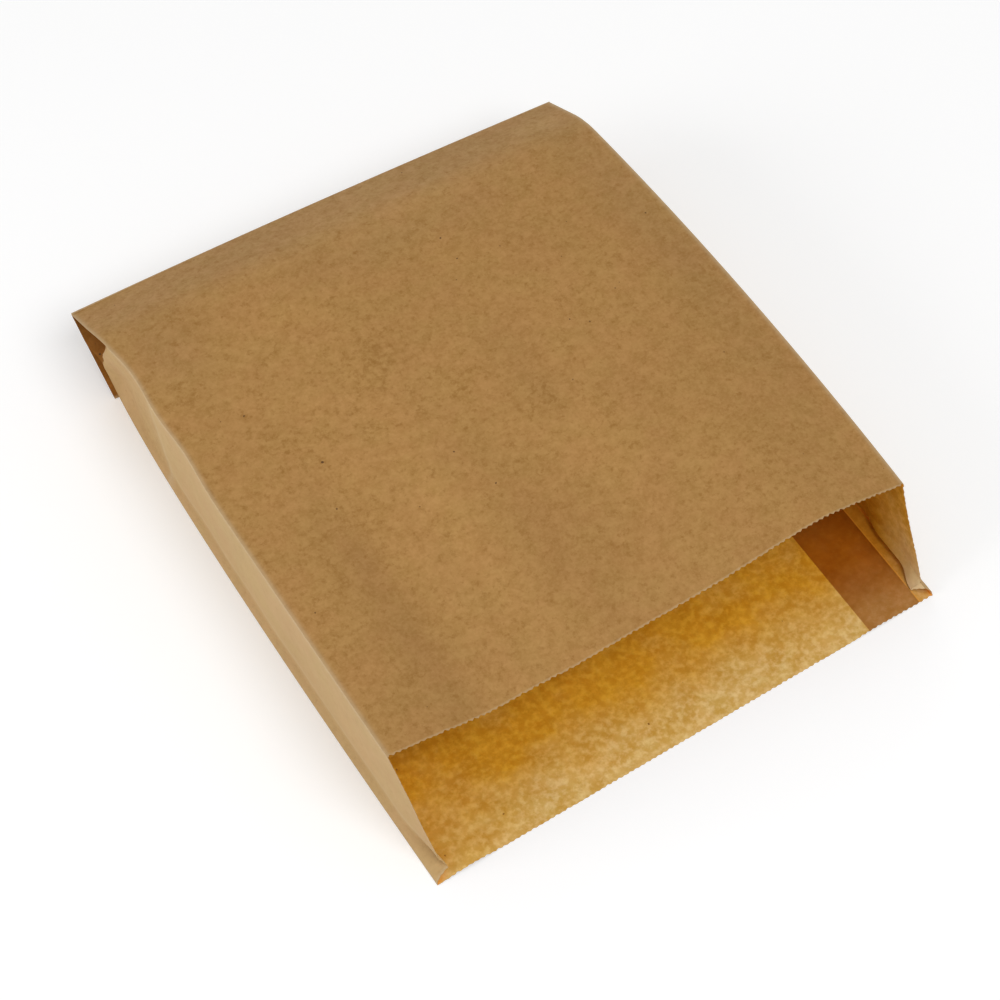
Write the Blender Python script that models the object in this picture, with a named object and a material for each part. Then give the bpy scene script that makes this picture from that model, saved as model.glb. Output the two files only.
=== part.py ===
"""Brown kraft paper lunch bag, lying on its back panel with its mouth half open.

The bag is one sheet of paper, folded into a flat tube with a gusset at each side,
glued along one seam on the back panel, and closed at its far end by folding the
tube's end over and gluing that flap down. Its mouth is cut with a toothed knife,
and the back panel runs past the front one.

The wall is built as two skins, the paper's outer and inner faces, each a grid of
rows from the closed end to the mouth and of columns round the tube. Lengths are in
metres. X runs across the bag, Y towards its closed end and Z up. The origin is the
centre of the bag's footprint, on the surface that it lies on.
"""

import math
from typing import NamedTuple

import bmesh
import bpy
import numpy as np
from mathutils import Vector

# The sheet, measured flat
BAG_WIDTH = 0.180
FRONT_LENGTH = 0.201
BACK_LENGTH = 0.233
GUSSET_WIDTH = 0.037
FLAP_LENGTH = 0.0305
SEAM_WIDTH = 0.0195
SEAM_FROM_EDGE = 0.005
PAPER = 0.00012
TOOTH_PITCH = 0.002
TOOTH_DEPTH = 0.0009

# How the half opened bag lies
FLAP_SLOPE = math.radians(48.7)
NOSE_SLOPE = math.radians(26.0)
RIDGE_LENGTH = 0.0235
RIDGE_SOFTNESS = 0.016
MOUTH_RISE_LEFT = 0.0018
MOUTH_DROP_RIGHT = 0.0022
FRONT_BOW = 0.0022
SIDE_BOW = 0.0012
SIDE_BOW_POWER = 3
CREASE_CROWN = 0.0016
CREASE_SKEW = 0.0012
MOUTH_SKEW = 0.0017
MOUTH_SKEW_POWER = 4
FLAP_OVERHANG = 0.0016
OVERHANG_STARTS = 0.4
OVERHANG_FULL = 0.9
OVERHANG_FADE = 0.022
CORNER_CURL = 0.0022
CORNER_CURL_REACH = 0.013

# Waves of the front panel at its mouth: centre, half width and height of each
MOUTH_WAVES = (
    (-0.030, 0.040, -0.0045),
    (-0.048, 0.014, -0.0022),
    (0.054, 0.022, 0.0050),
)
WAVE_FADE = 0.080

# Hollow that the gussets leave at the closed end, and their folds further on
HOLLOW_TOP = 0.0270
HOLLOW_BOTTOM = 0.0180
HOLLOW_WALL = 0.0030
FOLD_SHARE = 0.84
FOLD_SETTLE = 0.048
MOUTH_REACH = 0.020
LEFT_TUCK = 0.0015
LEFT_MOUTH_TUCK = 0.0050
RIGHT_TUCK = 0.0032
RIGHT_MOUTH_TUCK = 0.0055

# Grid
FRONT_COLUMNS = 15
BACK_COLUMNS = 11
HALF_GUSSET_COLUMNS = 4
NOSE_ROWS = 13
BODY_ROWS = 15
ROW_CROWDING = 0.4
MOUTH_ROWS = (0.35, 0.65, 0.88, 1.0)
PROFILE_POINTS = 2001
SEAM_STEP = 0.0002
SEAM_CLIMB = 0.0008
FLAP_STEP = 0.0001
FLAP_CLEARANCE = 0.0004
NOSE_TIP = 0.0005
LINING_START = 0.004
WELD = 0.000001

# Paper colour
KRAFT = (0.40, 0.235, 0.095, 1.0)
KRAFT_ROUGHNESS = 0.82
FOLD_ANGLE = math.radians(20.0)

HALF_WIDTH = BAG_WIDTH / 2
HALF_GUSSET = GUSSET_WIDTH / 2
FLOOR_LENGTH = BACK_LENGTH - FLAP_LENGTH
HINGE_SHARE = FLAP_LENGTH / BACK_LENGTH
FLAP_END_SHARE = (FLAP_LENGTH - FLAP_CLEARANCE) / BACK_LENGTH
LAYERS_AT_CREASE = 4
FLAP_LAYERS = 2
EDGES = np.array((-1.0, 1.0))


class Side(NamedTuple):
    """One side of the bag: its edge column, the way into the bag and its tucks."""

    edge: int
    inward: float
    tuck: float
    mouth_tuck: float


LEFT = Side(0, 1.0, LEFT_TUCK, LEFT_MOUTH_TUCK)
RIGHT = Side(-1, -1.0, RIGHT_TUCK, RIGHT_MOUTH_TUCK)


def smooth_step(value):
    """Ease from 0 to 1 as value goes from 0 to 1."""
    held = np.clip(value, 0.0, 1.0)
    return held * held * (3.0 - 2.0 * held)


def tent(place, peak):
    """Rise straight from 0 at place 0 to 1 at the peak, then fall to 0 at place 1."""
    return np.where(place < peak, place / peak, (1.0 - place) / (1.0 - peak))


def mix(start, end, place):
    """Points between start and end, one row of them for each pair."""
    return start[:, None, :] * (1.0 - place[..., None]) + end[:, None, :] * place[..., None]


def towards(start, end, distance):
    """Points moved from start towards end by a distance."""
    way = end - start
    return start + way / np.linalg.norm(way, axis=-1, keepdims=True) * distance


def row_shares():
    """Shares of the tube's length, from the closed end to the mouth, for the rows."""
    nose = np.linspace(0.0, FLAP_END_SHARE, NOSE_ROWS)
    hinge = (FLAP_END_SHARE + FLAP_STEP / BACK_LENGTH, HINGE_SHARE)
    spread = np.arange(1, BODY_ROWS + 1) / BODY_ROWS
    mouth_start = 1.0 - MOUTH_REACH / BACK_LENGTH
    crowded = (1.0 - ROW_CROWDING) * spread + ROW_CROWDING * spread**2
    body = HINGE_SHARE + (mouth_start - HINGE_SHARE) * crowded
    mouth = mouth_start + (1.0 - mouth_start) * np.array(MOUTH_ROWS)
    return np.concatenate((nose, hinge, body, mouth))[:, None]


def back_columns():
    """Places of the back panel's columns from right to left, the seam's edges first."""
    glued_edge = (HALF_WIDTH - SEAM_FROM_EDGE) / HALF_WIDTH
    cut_edge = glued_edge - SEAM_WIDTH / HALF_WIDTH
    step = SEAM_STEP / HALF_WIDTH
    rest = np.linspace(cut_edge - step, -glued_edge, BACK_COLUMNS)
    inner_edge = glued_edge - SEAM_CLIMB / HALF_WIDTH
    return np.concatenate(((glued_edge, inner_edge, cut_edge), rest))


def crease_point(across):
    """Height and place along Y of the back panel's outer face at the end crease."""
    along = FLAP_LENGTH * math.cos(FLAP_SLOPE) - CREASE_SKEW * across
    height = FLAP_LENGTH * math.sin(FLAP_SLOPE) + CREASE_CROWN * (1.0 - across**2)
    return along, height


def front_profile(lengths):
    """Front panel's side view: run, rise and slope at lengths from the end crease.

    The slope eases from the nose's to level round the soft ridge, and the profile
    is the running sum of its cosine and sine.
    """
    fine = np.linspace(0.0, FRONT_LENGTH, PROFILE_POINTS)
    ease = smooth_step((fine - RIDGE_LENGTH) / RIDGE_SOFTNESS + 0.5)
    slope = NOSE_SLOPE * (1.0 - ease)
    run = np.cumsum(np.cos(slope)) * fine[1]
    rise = np.cumsum(np.sin(slope)) * fine[1]
    return [np.interp(lengths, fine, line) for line in (run - run[0], rise - rise[0], slope)]


def mouth_waves(across):
    """Height of the front panel's waves at the mouth, nothing at its two edges."""
    wave = np.zeros(across.shape)
    for centre, spread, size in MOUTH_WAVES:
        bump = np.exp(-(((across * HALF_WIDTH - centre) / spread) ** 2))
        ends = np.exp(-(((EDGES * HALF_WIDTH - centre) / spread) ** 2))
        wave = wave + size * (bump - np.interp(across, EDGES, ends))
    return wave


def front_face(share, across, depth):
    """Points of the front panel, at a depth under its outer face.

    Args:
        share: rows' shares of the tube's length, as a column.
        across: places across the panel, -1 at its left edge and 1 at its right.
        depth: distance below the outer face.
    """
    along, height = crease_point(across)
    middle = math.pi + (FLAP_SLOPE - NOSE_SLOPE) / 2
    stack = LAYERS_AT_CREASE * PAPER
    length = share * FRONT_LENGTH
    run, rise, slope = front_profile(length)
    body = np.clip((length - RIDGE_LENGTH) / (FRONT_LENGTH - RIDGE_LENGTH), 0.0, 1.0)
    arch = 4.0 * body * (1.0 - body)
    on_right = (1.0 + across) / 2
    sides = (1.0 - on_right) * MOUTH_RISE_LEFT * body**2
    sides = sides + on_right * (FRONT_BOW * arch - MOUTH_DROP_RIGHT * body**2)
    fade = np.exp((length - FRONT_LENGTH) / WAVE_FADE) * body
    crown = CREASE_CROWN * (1.0 - across**2) * smooth_step(length / RIDGE_LENGTH)
    x = across * HALF_WIDTH + SIDE_BOW * arch * np.clip(across, 0.0, 1.0) ** SIDE_BOW_POWER
    y = along + math.sin(middle) * stack - run - depth * np.sin(slope)
    z = height - math.cos(middle) * stack + rise - depth * np.cos(slope)
    z = z - crown + sides + fade * mouth_waves(across)
    return np.stack(np.broadcast_arrays(x, y, z), axis=-1)


def back_half_width(share):
    """Half width of the back panel, drawn in beside the flap and bowed on the floor."""
    from_hinge = np.clip(share - HINGE_SHARE, 0.0, 1.0) * BACK_LENGTH
    run = from_hinge / FLOOR_LENGTH
    down_flap = smooth_step((share / HINGE_SHARE - OVERHANG_STARTS) / (OVERHANG_FULL - OVERHANG_STARTS))
    drawn = FLAP_OVERHANG * down_flap * np.exp(-from_hinge / OVERHANG_FADE)
    return HALF_WIDTH - drawn + SIDE_BOW * 4.0 * run * (1.0 - run)


def back_face(share, across, lift):
    """Points of the back panel, at a lift above its outer face, so into the bag.

    From the end crease it comes down the flap's slope to the hinge, and from there
    it lies on the floor. Its right corner at the mouth curls up.

    Args:
        share: rows' shares of the tube's length, as a column.
        across: places across the panel, -1 at its left edge and 1 at its right.
        lift: distance above the outer face, negative below it.
    """
    along, height = crease_point(across)
    up_flap = np.clip(1.0 - share / HINGE_SHARE, 0.0, 1.0)
    on_floor = np.clip(share - HINGE_SHARE, 0.0, 1.0) * BACK_LENGTH
    at_hinge = np.isclose(share, HINGE_SHARE)
    lean = np.where(share < HINGE_SHARE, FLAP_SLOPE, 0.0)
    lean = np.where(at_hinge, FLAP_SLOPE / 2, lean)
    lift = lift * np.where(at_hinge, 1.0 / math.cos(FLAP_SLOPE / 2), 1.0)
    x = across * back_half_width(share)
    beside = np.clip(1.0 - (HALF_WIDTH - x) / CORNER_CURL_REACH, 0.0, 1.0)
    near = np.clip(1.0 - (FLOOR_LENGTH - on_floor) / CORNER_CURL_REACH, 0.0, 1.0)
    skew = MOUTH_SKEW * across * (on_floor / FLOOR_LENGTH) ** MOUTH_SKEW_POWER
    y = up_flap * along - on_floor + skew - lift * np.sin(lean)
    z = up_flap * height + CORNER_CURL * (beside * near) ** 2 + lift * np.cos(lean)
    return np.stack(np.broadcast_arrays(x, y, z), axis=-1)


def gusset_places(share):
    """Places down a gusset, 0 at its top edge and 1 at its bottom, and its crease's.

    The crease lies half way down at the closed end, and past the hollow it runs
    down to near the floor.
    """
    half = np.arange(HALF_GUSSET_COLUMNS + 1) / HALF_GUSSET_COLUMNS
    gone = (share * FRONT_LENGTH - HOLLOW_TOP) / FOLD_SETTLE
    crease = 0.5 + (FOLD_SHARE - 0.5) * smooth_step(gone)
    places = np.concatenate((half * crease, crease + (1.0 - crease) * half[1:]), axis=1)
    return places, crease


def gusset_tuck(share, places, crease, span, side, depth):
    """How far a gusset's points tuck into the bag from a straight line down its edges.

    Next to the closed end the gusset is a V whose halves keep their flat width, so
    it tucks in deeper where its edges are nearer. Past the hollow it stands almost
    upright, and its crease and its lower half's middle tuck in a little.

    Args:
        share: rows' shares of the tube's length, as a column.
        places: places down the gusset, a row of them for each share.
        crease: the crease's place in each row.
        span: distance between the gusset's edges in each row.
        side: the side of the bag.
        depth: paper between this face and the outer one.
    """
    pinch = np.sqrt(np.clip(HALF_GUSSET**2 - (span / 2) ** 2, 0.0, None)) * tent(places, crease)
    at_mouth = smooth_step(1.0 - (1.0 - share) * BACK_LENGTH / MOUTH_REACH)
    low = (1.0 + crease) / 2
    low_tuck = side.tuck + at_mouth * (side.mouth_tuck - side.tuck)
    crease_tuck = (side.tuck + low_tuck) / 2
    above = crease_tuck * places / crease
    between = crease_tuck + (low_tuck - crease_tuck) * (places - crease) / (low - crease)
    below = low_tuck * (1.0 - places) / (1.0 - low)
    upright = np.where(places < crease, above, np.where(places < low, between, below))
    start = HOLLOW_TOP / FRONT_LENGTH * (1.0 - places) + HOLLOW_BOTTOM / BACK_LENGTH * places
    wall = smooth_step(((share - start) * FRONT_LENGTH - depth) / HOLLOW_WALL)
    return pinch + (upright - pinch) * wall


def outer_gusset(share, top, bottom, side):
    """Points of a gusset's outer face, between its edges' points in each row."""
    places, crease = gusset_places(share)
    span = np.linalg.norm(top - bottom, axis=1, keepdims=True)
    points = mix(top, bottom, places)
    points[..., 0] += side.inward * gusset_tuck(share, places, crease, span, side, 0.0)
    return points


def inner_gusset(share, top, bottom, inner_top, inner_bottom, side):
    """Points of a gusset's inner face.

    Where the gusset and a panel close up to a sharp wedge, their inner faces meet
    further in, and the paper fills the wedge's tip.

    Args:
        share: rows' shares of the tube's length, as a column.
        top: outer face's points at the gusset's top edge.
        bottom: outer face's points at its bottom edge.
        inner_top: front panel's inner face at the top edge.
        inner_bottom: back panel's inner face at the bottom edge.
        side: the side of the bag.
    """
    places, crease = gusset_places(share)
    outer = outer_gusset(share, top, bottom, side)
    insets = []
    for edge, near in ((outer[:, 0], outer[:, 1]), (outer[:, -1], outer[:, -2])):
        way = near - edge
        opening = np.arctan2(np.hypot(way[:, 1], way[:, 2]), side.inward * way[:, 0])
        insets.append((PAPER / np.tan(opening / 2))[:, None])
    span = np.linalg.norm(top - bottom, axis=1, keepdims=True)
    tuck = gusset_tuck(share, places, crease, span, side, PAPER)
    inset = insets[0] * (1.0 - places) + insets[1] * places
    shape = tent(places, crease)
    points = mix(inner_top, inner_bottom, places)
    points[..., 0] += side.inward * (inset * (1.0 - shape) + PAPER * shape + tuck)
    return points


def outer_skin(share):
    """Outer face of the paper, as rows of points round the tube.

    A row runs along the front panel from left to right, down the right gusset,
    back along the back panel and up the left gusset. Beside the end flap the back
    panel's edges stand in a little, and the columns between lie on the flap.
    """
    front = front_face(share, np.linspace(-1.0, 1.0, FRONT_COLUMNS + 1)[None, :], 0.0)
    on_flap = share < FLAP_END_SHARE + FLAP_STEP / BACK_LENGTH / 2
    drop = np.where(on_flap, -FLAP_LAYERS * PAPER, 0.0)
    back = back_face(share, back_columns()[None, :], drop)
    corners = back_face(share, EDGES[None, :], 0.0)
    ledge = corners.copy()
    brim = back_face(share, EDGES[None, :], drop)
    ledge[..., 0] = np.where(on_flap, EDGES * HALF_WIDTH, corners[..., 0] - EDGES * 2 * PAPER)
    brim[..., 0] = np.where(on_flap, EDGES * HALF_WIDTH, corners[..., 0] - EDGES * 4 * PAPER)
    gussets = []
    for side in (LEFT, RIGHT):
        top = towards(front[:, side.edge], corners[:, side.edge], 2 * PAPER)
        bottom = towards(corners[:, side.edge], front[:, side.edge], 2 * PAPER)
        gussets.append(outer_gusset(share, top, bottom, side))
    right_foot = np.stack((corners[:, 1], ledge[:, 1], brim[:, 1]), axis=1)
    left_foot = np.stack((brim[:, 0], ledge[:, 0], corners[:, 0]), axis=1)
    parts = (front, gussets[1], right_foot, back, left_foot, gussets[0][:, ::-1])
    return np.concatenate(parts, axis=1)


def inner_skin(share):
    """Inner face of the paper, with the same columns as the outer face.

    Across the seam the sheet is doubled, so the inner face stands one sheet higher.
    """
    columns = back_columns()
    front = front_face(share, np.linspace(-1.0, 1.0, FRONT_COLUMNS + 1)[None, :], PAPER)
    doubled = (columns <= columns[1]) & (columns >= columns[2])
    back = back_face(share, columns[None, :], np.where(doubled, 2 * PAPER, PAPER)[None, :])
    outer_front = front_face(share, EDGES[None, :], 0.0)
    outer_back = back_face(share, EDGES[None, :], 0.0)
    inner_back = back_face(share, EDGES[None, :], PAPER)
    gussets = []
    feet = []
    for side in (LEFT, RIGHT):
        top = outer_front[:, side.edge]
        bottom = outer_back[:, side.edge]
        face = inner_gusset(share, top, bottom, front[:, side.edge], inner_back[:, side.edge], side)
        front[:, side.edge] = face[:, 0]
        face[:, 0] = towards(face[:, 0], face[:, 1], PAPER)
        foot = np.repeat(face[:, -1:], 3, axis=1)
        foot[..., 0] += side.inward * PAPER * np.arange(1, 4)
        gussets.append(face)
        feet.append(foot)
    parts = (front, gussets[1], feet[1], back, feet[0][:, ::-1], gussets[0][:, ::-1])
    return np.concatenate(parts, axis=1)


def tooth_counts(rim):
    """Number of teeth on each side of the rim's ring of corners."""
    lengths = np.linalg.norm(np.roll(rim, -1, axis=0) - rim, axis=1)
    return np.rint(lengths / TOOTH_PITCH).astype(int)


def add_skin(mesh, points):
    """Add a skin's points and join them with faces, up to its last row but one."""
    rows, columns = points.shape[:2]
    grid = [[mesh.verts.new(point) for point in row] for row in points]
    for near, far in zip(grid[: rows - 2], grid[1:]):
        for column in range(columns):
            following = (column + 1) % columns
            mesh.faces.new((near[column], near[following], far[following], far[column]))
    return grid


def add_toothed_row(mesh, grid, points, counts):
    """Join a skin's last two rows, with the knife's teeth along the mouth's side.

    Every second point between two corners is set back along the paper by a tooth.

    Args:
        mesh: the bag's mesh.
        grid: the skin's vertices.
        points: the skin's points.
        counts: number of teeth on each side of the ring of corners.

    Returns:
        The rim's vertices in order.
    """
    back = towards(points[-1], points[-2], TOOTH_DEPTH) - points[-1]
    rim = []
    for column, count in enumerate(counts):
        following = (column + 1) % len(counts)
        steps = np.arange(1, 2 * max(count, 1))[:, None] if count else np.zeros((0, 1))
        place = steps / (2 * max(count, 1))
        line = points[-1, column] * (1.0 - place) + points[-1, following] * place
        teeth = line + (back[column] * (1.0 - place) + back[following] * place) * (steps % 2)
        chain = [grid[-1][column], *(mesh.verts.new(point) for point in teeth)]
        mesh.faces.new((grid[-2][following], grid[-2][column], *chain, grid[-1][following]))
        rim.extend(chain)
    return rim


def close_nose(mesh, row):
    """Close the outer skin at the end crease, past the gussets' closed slits.

    The layers' edge is drawn out by NOSE_TIP and narrows to half its height.
    """
    gusset = 2 * HALF_GUSSET_COLUMNS
    right = FRONT_COLUMNS + 1
    ring = row[: right + 1] + row[right + gusset + 1 : len(row) - gusset]
    middle = math.pi + (FLAP_SLOPE - NOSE_SLOPE) / 2
    out = Vector((0.0, -math.cos(middle), -math.sin(middle))) * NOSE_TIP
    up = Vector((0.0, math.sin(middle), -math.cos(middle)))
    heights = [vertex.co.dot(up) for vertex in ring]
    halfway = (max(heights) + min(heights)) / 2
    tip = [mesh.verts.new(v.co + out + up * (halfway - h) / 2) for v, h in zip(ring, heights)]
    for index in range(len(ring)):
        following = (index + 1) % len(ring)
        mesh.faces.new((ring[following], ring[index], tip[index], tip[following]))
    mesh.faces.new(tip)


def build_wall():
    """Mesh of the bag's wall, closed, with the origin under the footprint's centre."""
    share = row_shares()
    outer = outer_skin(share)
    inner = inner_skin(share[share[:, 0] * BACK_LENGTH > LINING_START])
    counts = tooth_counts(outer[-1])
    mesh = bmesh.new()
    outer_grid = add_skin(mesh, outer)
    inner_grid = add_skin(mesh, inner)
    outer_rim = add_toothed_row(mesh, outer_grid, outer, counts)
    inner_rim = add_toothed_row(mesh, inner_grid, inner, counts)
    for index in range(len(outer_rim)):
        following = (index + 1) % len(outer_rim)
        corners = (outer_rim[index], outer_rim[following], inner_rim[following], inner_rim[index])
        mesh.faces.new(corners)
    mesh.faces.new(inner_grid[0])
    close_nose(mesh, outer_grid[0])
    bmesh.ops.remove_doubles(mesh, verts=mesh.verts, dist=WELD)
    bmesh.ops.dissolve_degenerate(mesh, edges=mesh.edges, dist=WELD)
    bmesh.ops.triangulate(mesh, faces=mesh.faces, ngon_method="EAR_CLIP")
    bmesh.ops.recalc_face_normals(mesh, faces=mesh.faces)
    places = np.array([vertex.co for vertex in mesh.verts])
    centre = (places.min(axis=0) + places.max(axis=0)) / 2
    bmesh.ops.translate(mesh, verts=mesh.verts, vec=(-centre[0], -centre[1], 0.0))
    return mesh


def kraft_material():
    """Plain brown kraft paper."""
    material = bpy.data.materials.new("kraft_paper")
    material.use_nodes = True
    shader = material.node_tree.nodes["Principled BSDF"]
    shader.inputs["Base Color"].default_value = KRAFT
    shader.inputs["Roughness"].default_value = KRAFT_ROUGHNESS
    shader.inputs["Metallic"].default_value = 0.0
    return material


def build():
    """Build the bag as one object."""
    for item in list(bpy.data.objects):
        bpy.data.objects.remove(item)
    mesh = bpy.data.meshes.new("paper_bag")
    wall = build_wall()
    wall.to_mesh(mesh)
    wall.free()
    mesh.shade_smooth()
    mesh.set_sharp_from_angle(angle=FOLD_ANGLE)
    mesh.materials.append(kraft_material())
    bag = bpy.data.objects.new("paper_bag", mesh)
    bpy.context.collection.objects.link(bag)


build()
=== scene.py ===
"""Looks of a brown kraft paper lunch bag that lies on its back panel, mouth half open.

The bag is one folded and glued sheet. Its outer and inner faces are two grids of points,
rows from the closed end to the mouth and columns round the tube, joined at the toothed
mouth and at the pressed end crease. Lengths are in metres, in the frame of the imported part.
"""

import logging
import math
from dataclasses import dataclass, field
from enum import Enum

import bmesh
import bpy
import numpy as np
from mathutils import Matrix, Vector


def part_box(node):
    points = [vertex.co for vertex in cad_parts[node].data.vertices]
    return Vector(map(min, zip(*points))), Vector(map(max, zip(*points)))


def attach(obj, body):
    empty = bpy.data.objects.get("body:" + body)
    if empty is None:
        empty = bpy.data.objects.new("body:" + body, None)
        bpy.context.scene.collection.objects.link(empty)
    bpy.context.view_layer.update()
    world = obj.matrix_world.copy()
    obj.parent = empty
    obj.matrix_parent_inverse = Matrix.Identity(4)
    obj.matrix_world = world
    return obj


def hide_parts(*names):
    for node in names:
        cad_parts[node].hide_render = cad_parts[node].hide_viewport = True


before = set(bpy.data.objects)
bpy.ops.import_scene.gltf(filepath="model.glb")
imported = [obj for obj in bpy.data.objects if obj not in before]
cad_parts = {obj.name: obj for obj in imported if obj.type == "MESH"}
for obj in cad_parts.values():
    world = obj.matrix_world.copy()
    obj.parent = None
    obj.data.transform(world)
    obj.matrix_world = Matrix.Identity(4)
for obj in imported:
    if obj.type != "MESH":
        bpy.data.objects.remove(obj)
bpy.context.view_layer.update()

LOG = logging.getLogger("paper_bag")
NODE = "paper_bag"
MILLIMETRE = 0.001
EDGES = np.array((-1.0, 1.0))
PROFILE_POINTS = 2001

Colour = tuple[float, float, float]
Array = np.ndarray
Socket = bpy.types.NodeSocket
Material = bpy.types.Material
WHITE = (1.0, 1.0, 1.0)


class Face(Enum):
    """Finish of a stretch of the sheet's surface, by its place in the material list."""

    OUTSIDE = 0
    INSIDE = 1
    CUT_EDGE = 2


class Side(Enum):
    """A side of the bag: its edge's place in a row of two."""

    LEFT = 0
    RIGHT = -1

    @property
    def inward(self) -> float:
        """Sign of X that points into the bag from this side."""
        return 1.0 if self is Side.LEFT else -1.0


def smooth_step(value: Array) -> Array:
    """Ease from 0 to 1 as value goes from 0 to 1: 3 v squared less 2 v cubed."""
    held = np.clip(value, 0.0, 1.0)
    return held * held * (3.0 - 2.0 * held)


def tent(place: Array, peak: Array) -> Array:
    """Straight rise from 0 at place 0 to 1 at the peak, then a fall to 0 at place 1."""
    return np.where(place < peak, place / peak, (1.0 - place) / (1.0 - peak))


def bell(distance: Array, reach: Array | float) -> Array:
    """Gauss bell, 1 at distance 0: e to minus the square of distance over reach."""
    return np.exp(-((distance / reach) ** 2))


def mix(start: Array, end: Array, place: Array) -> Array:
    """Points between two rows of points, at places from 0 at start to 1 at end."""
    return start[:, None, :] * (1.0 - place[..., None]) + end[:, None, :] * place[..., None]


def towards(start: Array, end: Array, distance: float) -> Array:
    """Points moved by a distance along the straight line from start to end."""
    way = end - start
    return start + way / np.linalg.norm(way, axis=-1, keepdims=True) * distance


def arch(place: Array) -> Array:
    """Parabola that is 0 at places 0 and 1, and 1 half way."""
    return 4.0 * place * (1.0 - place)


@dataclass(frozen=True)
class Cockle:
    """Slight random waviness that paper takes from damp air and handling."""

    seed: int
    height: float
    shortest: float
    longest: float
    waves: int = 28

    def at(self, x: Array, y: Array) -> Array:
        """Height of the waves: a sum of cosines of seeded ways, lengths and phases.

        Each wave's height is in proportion to its length, and the sum is scaled so that
        its root mean square is the stated height.

        Args:
            x: first coordinate on the sheet.
            y: second coordinate on the sheet.

        Returns:
            Heights, one for each pair.
        """
        draw = np.random.default_rng(self.seed)
        turn = draw.uniform(0.0, math.tau, self.waves)
        phase = draw.uniform(0.0, math.tau, self.waves)
        length = self.shortest * (self.longest / self.shortest) ** draw.uniform(0.0, 1.0, self.waves)
        share = length / math.sqrt(np.sum(length**2) / 2.0)
        x, y = np.broadcast_arrays(x, y)
        along = x[..., None] * np.cos(turn) + y[..., None] * np.sin(turn)
        return self.height * np.sum(share * np.cos(math.tau * along / length + phase), axis=-1)


@dataclass(frozen=True)
class Wave:
    """A single bell-shaped wave across a panel: its centre, reach and height."""

    centre: float
    reach: float
    height: float

    def at(self, x: Array) -> Array:
        """Height of the wave at places across the panel."""
        return self.height * bell(x - self.centre, self.reach)


@dataclass(frozen=True)
class WearAndLightPatch:
    """Soft oval patch on the front panel, in millimetres from its middle and its closed end: rubbed
    marks, painted shade and light, or painted sheen.
    """

    across: float
    along: float
    width: float
    length: float
    strength: float

    def at(self, across: Array, along: Array) -> Array:
        """Strength of the patch: a bell on the distance in shares of its half sizes.

        Args:
            across: distances from the panel's middle, in metres.
            along: distances from its closed end, in metres.

        Returns:
            The strengths.
        """
        aside = (across / MILLIMETRE - self.across) / self.width
        further = (along / MILLIMETRE - self.along) / self.length
        return self.strength * np.exp(-(aside**2) - further**2)


def wear_and_light_patches(*patches: tuple[float, ...]) -> tuple[WearAndLightPatch, ...]:
    """Patches from rows of their numbers: across, along, width, length and strength."""
    return tuple(WearAndLightPatch(*patch) for patch in patches)


@dataclass(frozen=True)
class WearAndPaintedLight:
    """Patches on the front panel: painted shade and light, rubbed marks, and a painted bluish-grey
    sheen.
    """

    # Painted shade and light: soft darker bands and patches with positive strengths, lighter ones with
    # negative strengths.
    shades: tuple[WearAndLightPatch, ...] = wear_and_light_patches(
        (-40, 110, 42, 85, -0.25),
        (62, 115, 30, 90, 0.28),
        (0, 17, 50, 8, -0.35),
        (-63, 155, 7, 42, 0.75),
        (-62, 140, 4, 7, 0.35),
        (-33, 155, 6, 38, -0.55),
        (-48, 170, 8, 30, -0.2),
        (-10, 160, 13, 45, 0.6),
        (18, 140, 10, 22, -0.4),
        (45, 160, 14, 20, -0.2),
        (-70, 37, 16, 14, 0.4),
        (20, 24, 42, 6, -0.35),
        (80, 14, 12, 5, -0.55),
        (-30, 14, 30, 8, 0.2),
        (70, 55, 14, 25, 0.35),
        (83, 115, 9, 70, 0.25),
        (-45, 47, 25, 8, -0.25),
        (-20, 75, 14, 14, 0.2),
        (16, 110, 5, 22, 0.4),
    )
    rubs: tuple[WearAndLightPatch, ...] = wear_and_light_patches(
        (-66, 32, 3, 7, 0.9),
        (-79, 59, 6, 4, 0.65),
        (-55, 97, 14, 12, 0.5),
        (-22, 77, 10, 12, 0.75),
        (-4.5, 49, 3, 4, 0.8),
        (0, 100, 6, 7, 0.75),
        (16, 116, 2.6, 7, 1.2),
        (8, 119, 3, 3, 0.8),
        (-60, 140, 5, 6, 0.95),
        (-55, 125, 8, 5, 0.8),
        (40, 88, 7, 3, 0.65),
        (60, 35, 4, 3, 0.6),
        (28, 133, 3, 7, 0.6),
        (-14.5, 130, 3, 4, 0.6),
        (47, 180, 4, 5, 0.8),
        (41.5, 194, 2.6, 2.2, 1.4),
        (59, 172, 3, 8, 0.65),
        (-85, 167, 4, 8, 0.6),
        (8, 175, 5, 4, 0.5),
        (-30, 90, 6, 6, 0.6),
    )
    # Painted sheen: a bluish-grey cast, mostly over the nose and along the panel's right edge.
    painted_sheens: tuple[WearAndLightPatch, ...] = wear_and_light_patches(
        (0, 8, 200, 18, 0.85),
        (85, 60, 12, 70, 0.6),
        (-78, 40, 12, 18, 0.55),
        (10, 36, 40, 8, 0.4),
        (15, 14, 60, 12, 0.45),
    )


@dataclass(frozen=True)
class Draw:
    """A share of a gusset's tuck at the mouth: where it starts and how soon it is full."""

    share: float
    start: float
    run: float

    def at(self, from_mouth: Array) -> Array:
        """Share reached at distances from the mouth."""
        return self.share * smooth_step((self.start - from_mouth) / self.run)


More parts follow.
